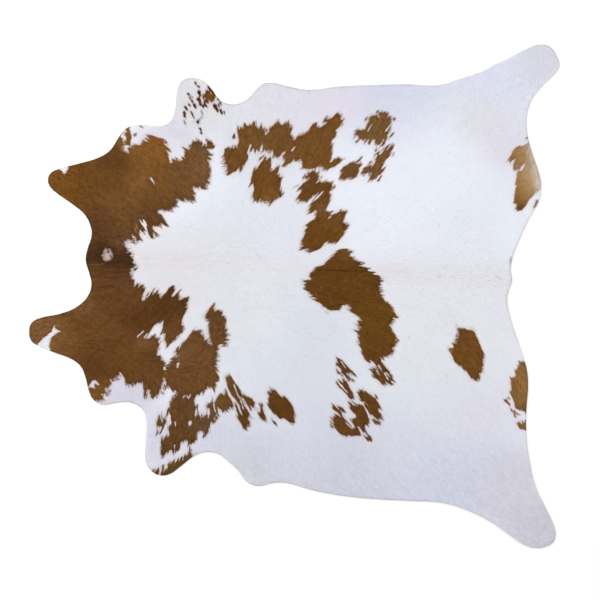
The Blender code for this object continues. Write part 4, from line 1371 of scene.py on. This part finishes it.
@dataclass
class HideSkin:
    """The tanned leather: one closed sheet, suede below, the coat's root bed above."""

    markings: Markings
    thickness: float = 0.002
    cell: float = 0.013
    overlap: float = 0.02
    cutter_stretch: float = 40.0
    sway: float = 0.0011            # highest rise of its waves
    waves: tuple[Hills, ...] = (Hills(0.6, 0.21, Draw.WAVE), Hills(0.4, 0.08, Draw.SMALL_WAVE))
    wave_start: float = 0.15        # lifts the waves, so that less of the sheet lies flat
    flat_rim: float = 0.55          # it lies flat where less of the hide is round a place
    crease_height: float = 0.0006   # of the soft fold along the back
    crease_width: float = 0.012
    crease_across: float = 0.105    # its place across, at x = 0
    crease_slant: float = -0.05
    white_bed_shade: float = 0.8          # painted shade of the skin between the hairs, where the locks over it shade it
    brown_bed_shade: float = 0.75
    level: float = 0.5              # upright share of a normal, from which a face counts as flat
    name: str = "hide_skin"

    def lift(self, x: Array, y: Array) -> Array:
        """Give the leather's soft unevenness.

        Args:
            x: Places along the spine.
            y: Places across it.

        Returns:
            How far the sheet rises off the floor there, in metres.
        """
        wave = sum(hills.at(x, y) for hills in self.waves)
        within = self.markings.grid.at(self.markings.rim_soft, x, y)
        inner = np.clip((within - self.flat_rim) / (1 - self.flat_rim), 0, 1)
        off_crease = y - self.crease_across - self.crease_slant * x
        crease = self.crease_height * np.exp(-((off_crease / self.crease_width) ** 2))
        return inner * (self.sway * np.clip(wave + self.wave_start, 0, 1) + crease)

    def build(self) -> bpy.types.Object:
        """Cut the sheet to the hide's edge, shape it and return it."""
        low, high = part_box("hide")
        bpy.ops.object.select_all(action="DESELECT")
        width, length = high.x - low.x + self.overlap, high.y - low.y + self.overlap
        bpy.ops.mesh.primitive_grid_add(
            x_subdivisions=round(width / self.cell),
            y_subdivisions=round(length / self.cell),
            size=1,
            location=(0, 0, self.thickness),
        )
        skin = bpy.context.object
        skin.name = skin.data.name = self.name
        skin.scale = (width, length, 1)
        bpy.ops.object.transform_apply(location=True, rotation=True, scale=True)
        wall = skin.modifiers.new("leather", "SOLIDIFY")
        wall.thickness, wall.offset = self.thickness, -1
        bpy.ops.object.modifier_apply(modifier=wall.name)
        cutter = self.cutter()
        cut = skin.modifiers.new("trimmed_edge", "BOOLEAN")
        cut.operation, cut.object, cut.solver = "INTERSECT", cutter, "EXACT"
        bpy.context.view_layer.objects.active = skin
        bpy.ops.object.modifier_apply(modifier=cut.name)
        bpy.data.objects.remove(cutter, do_unlink=True)
        self.shape(skin.data)
        self.cover(skin.data)
        LOG.info("%s: %d faces", skin.name, len(skin.data.polygons))
        return skin

    def cutter(self) -> bpy.types.Object:
        """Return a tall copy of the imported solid."""
        tall = merged_solid()
        for vertex in tall.verts:
            vertex.co.z = (vertex.co.z - self.markings.outline.mid_height) * self.cutter_stretch
        mesh = bpy.data.meshes.new("edge_cutter")
        tall.to_mesh(mesh)
        tall.free()
        cutter = bpy.data.objects.new("edge_cutter", mesh)
        bpy.context.scene.collection.objects.link(cutter)
        return cutter

    def shape(self, mesh: bpy.types.Mesh) -> None:
        """Give the cut sheet its unevenness and the tones of its hair side, darkened with painted
        shade between the hairs.
        """
        places = np.empty(len(mesh.vertices) * 3)
        mesh.vertices.foreach_get("co", places)
        places = places.reshape(-1, 3)
        x, y = places[:, 0], places[:, 1]
        places[:, 2] += self.lift(x, y)
        mesh.vertices.foreach_set("co", places.ravel())
        brown = self.markings.grid.at(self.markings.brown_soft, x, y)[:, None]
        # Painted shade: the skin between the hairs is darkened, white and brown alike, and the
        # white tones carry painted shade too.
        tones = WHITE_PALETTE_WITH_SHADE.tones(x, y) * self.white_bed_shade * (1 - brown)
        tones += BROWN_PALETTE.tones(x, y) * self.brown_bed_shade * brown
        colours = np.concatenate([tones, np.ones((len(x), 1))], axis=1)
        layer = mesh.color_attributes.new("skin_tone", "FLOAT_COLOR", "POINT")
        layer.data.foreach_set("color", colours.ravel())

    def cover(self, mesh: bpy.types.Mesh) -> None:
        """Give the sheet its two sides and lay them side by side on its map."""
        mesh.materials.clear()
        for finish in (HAIR_SIDE, FLESH_SIDE):
            mesh.materials.append(finish.material())
        low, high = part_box("hide")
        sheet_map = mesh.uv_layers.new(name="OFBake")
        for face in mesh.polygons:
            below = face.normal.z <= self.level
            face.material_index = int(below)
            face.use_smooth = abs(face.normal.z) > self.level
            for corner, index in zip(face.loop_indices, face.vertices):
                place = mesh.vertices[index].co
                along = (place.x - low.x) / (high.x - low.x)
                across = (place.y - low.y) / (high.y - low.y)
                sheet_map.data[corner].uv = ((along + below) * 0.5, across)
        mesh.update()


@dataclass
class CoatZone:
    """One piece of the coat: the locks of one colour between two lines along the hide."""

    name: str
    colour: CoatColour
    low: float
    high: float


@dataclass
class Locks:
    """Columns of locks, one row each. A lock's place is where it shows most."""

    x: Array
    y: Array
    east: Array                                 # its direction
    north: Array
    brown: Array
    fore: Array = field(init=False)             # its length from there to the tip
    back: Array = field(init=False)             # and to the root
    tone: Array = field(init=False)
    tip_shade: Array = field(init=False)
    roll: Array = field(init=False)
    height: Array = field(init=False)
    wide: Array = field(init=False)

    def onward(self, distance: Array | float) -> tuple[Array, Array]:
        """Return the places at a distance ahead of each lock's own."""
        return self.x + self.east * distance, self.y + self.north * distance

    def chosen(self, rows: Array) -> "Locks":
        """Return some of the locks."""
        some = copy(self)
        for name, values in vars(self).items():
            setattr(some, name, values[rows])
        return some


@dataclass
class Coat:
    """The short laid hair, as tented locks that overlap like shingles."""

    markings: Markings
    flow: HairFlow
    skin: HideSkin
    pitch: float = 0.00262
    jitter: float = 0.42
    turn: float = math.radians(6.5)         # spread of the directions by chance
    fine_turn: float = math.radians(5.0)    # and with the fine streaks
    length: float = 0.022
    length_spread: float = 0.0032
    length_limits: tuple[float, float] = (0.014, 0.03)
    trims: tuple[float, ...] = (1.0, 0.8, 0.6, 0.45, 0.3, 0.2, 0.1)     # shares it is cut to
    last_trim: float = 0.08                 # where none of them fits
    shortest: float = 0.0012                # of the part before or behind a lock's place
    width: float = 0.0027
    width_spread: float = 0.16
    width_limits: tuple[float, float] = (0.6, 1.5)
    slimming: tuple[float, float] = (0.45, 1.1)     # limits of the width of a trimmed lock
    shown_at: float = 0.72                  # where along a lock it shows most
    widest_at: float = 0.4
    pile: float = 0.0033                    # height of the tips over the leather
    pile_spread: float = 0.00045
    pile_limit: float = 1.5                 # of its chance, as a multiple of the spread
    rim_pile: float = 0.55                  # share of it at the trimmed edge
    root_sink: float = 0.0002               # depth of the roots in the leather
    ridge: float = 0.00035                  # how far a lock's sides hang below its middle
    roll: float = 0.00025                   # how far a lock tips to one side
    roll_limit: float = 2.0
    tuft_wander: float = 0.0008             # how far off its place a lock takes its colour
    stray: float = 0.0005                   # and how much farther by chance
    mixed: tuple[float, float] = (0.01, 0.99)   # shares of brown where two colours meet
    edge_length: float = 0.7                # length of the locks there, as a share
    fore_foreign: float = 0.94              # how much of the other colour may lie under a tip
    back_foreign: float = 0.97              # and under a root
    fore_hide: float = 0.25                 # how much of the hide has to lie under a tip
    back_hide: float = 0.5
    pale_rim: tuple[float, float] = (96.5, 51.0)    # on the drawing: no dark rim line here
    pale_reach: float = 0.16
    pale_falloff: int = 4                   # how abruptly that part ends
    pale_calm: float = 0.35                 # how much less the tones vary there
    white_variety: float = 0.003            # of the tones, with each kind of streak
    coarse_variety: float = 0.02            # more of it where the white hair is coarse
    coarse_from: float = -0.45              # where that starts, towards the left flank
    coarse_over: float = 0.25
    # The brown tones vary with the fine, broad and tick streaks, by chance, and with the clouds.
    brown_variety: tuple[float, ...] = (0.06, 0.02, 0.09, 0.16, 0.03)
    clouds: tuple[Hills, ...] = (
        Hills(1.0, 0.05, Draw.CLOUDS),
        Hills(0.6, 0.018, Draw.SMALL_CLOUDS),
    )
    warm_tint: Colour = (1.06, 0.92, 0.86)  # of white hair beside the brown
    # A brown lock is a little darker where the coat so far ahead of it is white.
    far_ahead: float = 0.009
    near_ahead: float = 0.004
    far_shade: float = 0.9
    near_shade: float = 0.97
    brown_rim_shade: float = 0.45           # how much the trimmed edge darkens
    brown_rim_falloff: float = 1.5
    white_rim_shade: float = 0.03
    white_rim_falloff: int = 2
    tone_limits: tuple[float, float] = (0.002, 0.98)
    brown_tip: float = 0.88                 # shade of the brown tips that end over white
    brown_root_shade: float = 0.84                # painted shade at the roots, where the locks over them shade them
    white_root_shade: float = 0.94
    strand_spread: float = 40.0             # how far apart the locks' strand patterns lie
    zones: tuple[CoatZone, ...] = (
        CoatZone("white_coat_left_flank", CoatColour.WHITE, -2.0, -0.46),
        CoatZone("white_coat_left_side", CoatColour.WHITE, -0.46, -0.06),
        CoatZone("white_coat_right_side", CoatColour.WHITE, -0.06, 0.4),
        CoatZone("white_coat_right_flank", CoatColour.WHITE, 0.4, 2.0),
        CoatZone("brown_coat_left", CoatColour.BROWN, -2.0, 0.1),
        CoatZone("brown_coat_right", CoatColour.BROWN, 0.1, 2.0),
    )

    def build(self) -> list[bpy.types.Object]:
        """Lay the whole coat and return one object for each zone."""
        locks = self.lay_locks()
        materials = {colour: finish.material() for colour, finish in HAIR.items()}
        pieces = []
        for zone in self.zones:
            mine = locks.brown == (zone.colour is CoatColour.BROWN)
            mine &= (locks.y >= zone.low) & (locks.y < zone.high)
            piece = self.mesh_locks(zone.name, locks.chosen(mine))
            piece.data.materials.append(materials[zone.colour])
            pieces.append(piece)
            LOG.info("%s: %d locks", zone.name, int(mine.sum()))
        return pieces

    def scatter(self, random: np.random.Generator) -> tuple[Array, Array]:
        """Place the locks evenly but out of line.

        Args:
            random: The source of chance.

        Returns:
            Where each lock shows most, along and across.
        """
        loop = self.markings.outline.loop
        lines = (np.arange(low, high, self.pitch) for low, high in zip(loop.min(0), loop.max(0)))
        x, y = (part.ravel().copy() for part in np.meshgrid(*lines))
        for places in (x, y):
            places += random.uniform(-self.jitter, self.jitter, len(places)) * self.pitch
        inside = self.markings.grid.at(self.markings.hide, x, y)
        return x[inside], y[inside]

    def lay_locks(self) -> Locks:
        """Give every lock its place, direction, length, colour and tone."""
        random = Draw.LOCKS.source()
        marks, flow = self.markings, self.flow
        x, y = self.scatter(random)
        count = len(x)
        east, north = (flow.grid.at(part, x, y) for part in flow.ahead)
        fine = flow.grid.at(flow.fine, x, y)
        turn = random.normal(0, self.turn, count) + self.fine_turn * fine
        east, north = (
            east * np.cos(turn) - north * np.sin(turn),
            east * np.sin(turn) + north * np.cos(turn),
        )
        shift = self.tuft_wander * fine + random.normal(0, self.stray, count)
        brown = marks.grid.at(marks.brown, x + east * shift, y + north * shift)
        locks = Locks(x, y, east, north, brown)
        size = self.length + random.normal(0, self.length_spread, count)
        size = np.clip(size, *self.length_limits)
        share = marks.grid.at(marks.brown_soft, x, y)
        size[(share > self.mixed[0]) & (share < self.mixed[1])] *= self.edge_length
        fore, back = size * (1 - self.shown_at), size * self.shown_at
        locks.fore = self.trimmed(locks, fore, 1, self.fore_foreign, self.fore_hide)
        locks.back = self.trimmed(locks, back, -1, self.back_foreign, self.back_hide)
        self.tint(locks, random)
        locks.roll = random.normal(0, 1, count)
        locks.height = random.normal(0, 1, count)
        locks.wide = np.clip(random.normal(1, self.width_spread, count), *self.width_limits)
        return locks

    def trimmed(self, locks: Locks, reach: Array, way: int, foreign: float, hide: float) -> Array:
        """Shorten the locks that would run off the hide or far into the other colour.

        Args:
            locks: The locks.
            reach: Wished length from each lock's place to the end that is tested.
            way: 1 for the tip and -1 for the root.
            foreign: Share of the other colour that the end may lie in.
            hide: Share of the hide that has to lie under the end.

        Returns:
            The length that fits.
        """
        marks = self.markings
        result = reach * self.last_trim
        open_still = np.ones(len(reach), bool)
        for share in self.trims:
            end_x = locks.x + way * locks.east * reach * share
            end_y = locks.y + way * locks.north * reach * share
            other = marks.grid.at(marks.brown_soft, end_x, end_y)
            other = np.where(locks.brown, 1 - other, other)
            fits = (other <= foreign) & (marks.grid.at(marks.hide_soft, end_x, end_y) >= hide)
            chosen = open_still & fits
            result[chosen] = reach[chosen] * share
            open_still &= ~fits
        return np.maximum(result, self.shortest)

    def tint(self, locks: Locks, random: np.random.Generator) -> None:
        """Give each lock its tone and how much darker its tip is.

        Args:
            locks: The locks, which take both.
            random: The source of chance.
        """
        marks, flow = self.markings, self.flow
        x, y, brown = locks.x, locks.y, locks.brown
        tones = np.empty((len(x), 3))
        # The white tones are partly painted shade, darker and bluer towards the -Y edge.
        tones[~brown] = WHITE_PALETTE_WITH_SHADE.tones(x[~brown], y[~brown])
        tones[brown] = BROWN_PALETTE.tones(x[brown], y[brown])
        fine, broad, ticks = (
            flow.grid.at(part, x, y) for part in (flow.fine, flow.broad, flow.ticks)
        )
        chance = random.normal(0, 1, len(x))
        clouds = sum(hills.at(x, y) for hills in self.clouds)
        coarse = np.clip((self.coarse_from - y) / self.coarse_over, 0, 1)
        white_spread = 1 + self.white_variety * (fine + broad + chance + clouds)
        white_spread += self.coarse_variety * coarse * (ticks + fine)
        pale_gap = gap_to(x, y, self.pale_rim)
        pale = np.exp(-((pale_gap / self.pale_reach) ** self.pale_falloff))
        kinds = (fine, broad, ticks, chance, clouds)
        brown_spread = sum(share * kind for share, kind in zip(self.brown_variety, kinds))
        brown_spread = 1 + (1 - self.pale_calm * pale) * brown_spread
        tones *= np.where(brown, brown_spread, white_spread)[:, None]
        warmth = np.where(brown, 0.0, np.clip(2 * marks.grid.at(marks.brown_glow, x, y), 0, 1))
        tones *= 1 + warmth[:, None] * (np.array(self.warm_tint) - 1)
        ahead = marks.grid.at(marks.brown, *locks.onward(self.far_ahead))
        nearer = marks.grid.at(marks.brown, *locks.onward(self.near_ahead))
        rim = np.clip(2 * (1 - marks.grid.at(marks.rim_soft, x, y)), 0, 1)
        edge_shade = np.where(ahead, 1.0, self.far_shade)
        edge_shade *= np.where(nearer, 1.0, self.near_shade)
        edge_shade *= 1 - self.brown_rim_shade * (1 - pale) * rim**self.brown_rim_falloff
        white_edge = 1 - self.white_rim_shade * rim**self.white_rim_falloff
        tones *= np.where(brown, edge_shade, white_edge)[:, None]
        locks.tone = np.clip(tones, *self.tone_limits)
        locks.tip_shade = np.where(brown & ~ahead, self.brown_tip, 1.0)

    def mesh_locks(self, name: str, locks: Locks) -> bpy.types.Object:
        """Make the joined mesh of one zone: four points and two faces for each lock.

        Args:
            name: The zone's name.
            locks: Its locks.

        Returns:
            The object.
        """
        count = len(locks.x)
        length = locks.fore + locks.back
        root = np.stack(locks.onward(-locks.back), 1)
        along = np.stack([locks.east, locks.north], 1)
        aside = np.stack([-locks.north, locks.east], 1)
        half = 0.5 * self.width * locks.wide * np.clip(length / self.length, *self.slimming)
        within = self.markings.grid.at(self.markings.rim_soft, locks.x, locks.y)
        rim = np.clip((within - 0.5) * 2, 0, 1)
        more = self.pile_spread * np.clip(locks.height, -self.pile_limit, self.pile_limit)
        pile = self.pile * (self.rim_pile + (1 - self.rim_pile) * rim) + more
        tilt = self.roll * np.clip(locks.roll, -self.roll_limit, self.roll_limit)
        floor = self.skin.thickness - self.root_sink
        points = np.empty((count, 4, 3))
        corners = ((0.0, 0.0), (self.widest_at, 1.0), (self.widest_at, -1.0), (1.0, 0.0))
        for corner, (share, side) in enumerate(corners):
            flat = root + along * (length * share)[:, None] + aside * (half * side)[:, None]
            points[:, corner, :2] = flat
            height = floor + pile * share - abs(side) * self.ridge + side * tilt
            points[:, corner, 2] = height + self.skin.lift(*flat.T)
        mesh = bpy.data.meshes.new(name)
        mesh.vertices.add(count * 4)
        mesh.vertices.foreach_set("co", points.ravel())
        order = (np.arange(count)[:, None] * 4 + np.array([0, 3, 1, 0, 2, 3])).ravel()
        mesh.loops.add(len(order))
        mesh.loops.foreach_set("vertex_index", order)
        mesh.polygons.add(count * 2)
        mesh.polygons.foreach_set("loop_start", np.arange(0, len(order), 3))
        mesh.polygons.foreach_set("use_smooth", np.ones(count * 2, bool))
        mesh.update(calc_edges=True)
        self.paint(mesh, points, order, locks)
        piece = bpy.data.objects.new(name, mesh)
        bpy.context.scene.collection.objects.link(piece)
        return piece

    def paint(self, mesh: bpy.types.Mesh, points: Array, order: Array, locks: Locks) -> None:
        """Give the locks their tones, with painted shade at the roots, and their maps.

        Args:
            mesh: The joined mesh.
            points: Its points, four for each lock.
            order: The point of each face corner.
            locks: The locks.
        """
        count = len(locks.x)
        full = np.ones(count)
        # Painted shade: each lock's root is darker, as the locks lying over it shade it.
        root_shade = np.where(locks.brown, self.brown_root_shade, self.white_root_shade)
        shades = np.stack([root_shade, full, full, locks.tip_shade], 1)
        colours = np.ones((count, 4, 4))
        colours[:, :, :3] = locks.tone[:, None, :] * shades[:, :, None]
        layer = mesh.color_attributes.new("coat_tone", "FLOAT_COLOR", "POINT")
        layer.data.foreach_set("color", colours.ravel())
        flat = points.reshape(-1, 3)[:, :2]
        low, high = flat.min(0), flat.max(0)
        offset = np.random.default_rng(SEED + count).uniform(0, self.strand_spread, (count, 1, 2))
        strand = offset + np.array(
            [[0.5, 0.0], [0.0, self.widest_at], [1.0, self.widest_at], [0.5, 1.0]]
        )
        maps = {"OFBake": (flat - low) / (high - low), "strand": strand.reshape(-1, 2)}
        for name, places in maps.items():
            mesh.uv_layers.new(name=name).data.foreach_set("uv", places[order].ravel())


@dataclass
class Studio:
    """A pale floor, soft light and the camera straight above."""

    floor_size: float = 70.0
    floor_drop: float = 0.0004      # clear of the hide's underside
    floor_tone: float = 0.86
    floor_roughness: float = 0.9
    sky: float = 1.05
    lens: float = 135.0
    sensor: float = 36.0
    picture_width: float = 2.40
    sight: float = 200.0
    aim: tuple[float, float] = (0.023, -0.0145)
    lamp_place: tuple[float, float, float] = (-3.2, 3.4, 4.2)
    lamp_size: float = 3.0
    lamp_power: float = 130.0

    def build(self) -> None:
        """Set up the floor, the light and the camera."""
        self.add_floor()
        self.add_light()
        self.add_camera()
        view = bpy.context.scene.view_settings
        view.view_transform = "Standard"
        view.look = "None"
        view.exposure = 0.0
        view.gamma = 1.0
        LOG.info("studio ready")

    def add_floor(self) -> None:
        """Lay the pale floor."""
        bpy.ops.object.select_all(action="DESELECT")
        bpy.ops.mesh.primitive_plane_add(size=self.floor_size, location=(0, 0, -self.floor_drop))
        floor = bpy.context.object
        floor.name = "studio_floor"
        sketch = MaterialSketch("studio_floor")
        sketch.fit(sketch.shader, {
            "Base Color": (self.floor_tone,) * 3 + (1.0,), "Roughness": self.floor_roughness,
            "Specular IOR Level": 0.0,
        })
        floor.data.materials.append(sketch.material)

    def add_light(self) -> None:
        """Hang one large soft lamp and an even sky."""
        world = bpy.data.worlds.new("studio_sky")
        bpy.context.scene.world = world
        world.use_nodes = True
        sky = world.node_tree.nodes["Background"]
        sky.inputs["Color"].default_value = (1.0, 1.0, 1.0, 1.0)
        sky.inputs["Strength"].default_value = self.sky
        lamp = bpy.data.lights.new("soft_lamp", "AREA")
        lamp.shape = "SQUARE"
        lamp.size = self.lamp_size
        lamp.energy = self.lamp_power
        holder = bpy.data.objects.new("soft_lamp", lamp)
        bpy.context.scene.collection.objects.link(holder)
        holder.location = self.lamp_place
        holder.rotation_euler = (-Vector(self.lamp_place)).to_track_quat("-Z", "Y").to_euler()

    def add_camera(self) -> None:
        """Place the camera so that the picture spans its width on the floor."""
        camera = bpy.data.cameras.new("camera")
        camera.lens = self.lens
        camera.sensor_width = self.sensor
        camera.clip_end = self.sight
        holder = bpy.data.objects.new("camera", camera)
        bpy.context.scene.collection.objects.link(holder)
        holder.location = (*self.aim, self.picture_width * self.lens / self.sensor)
        holder.rotation_euler = (0, 0, 0)
        bpy.context.scene.camera = holder


@dataclass
class CowhideRug:
    """The whole rug: leather and coat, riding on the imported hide."""

    flat_size: tuple[float, float] = (2.12, 2.01)
    flat_area: float = 2.80

    def build(self) -> None:
        """Build every piece, attach it to the root body and hide the imported solid."""
        outline = HideOutline()
        flow = HairFlow(outline)
        markings = Markings(outline, flow)
        LOG.info("markings: %.1f%% of the hide is brown", markings.share_brown())
        skin_maker = HideSkin(markings)
        skin = skin_maker.build()
        coat = Coat(markings, flow, skin_maker).build()
        for piece in (skin, *coat):
            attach(piece, "root")
        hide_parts("hide")


def main() -> None:
    """Build the rug and its studio."""
    logging.basicConfig(level=logging.INFO, format="%(message)s")
    CowhideRug().build()
    Studio().build()


if __name__ == "__main__":
    main()
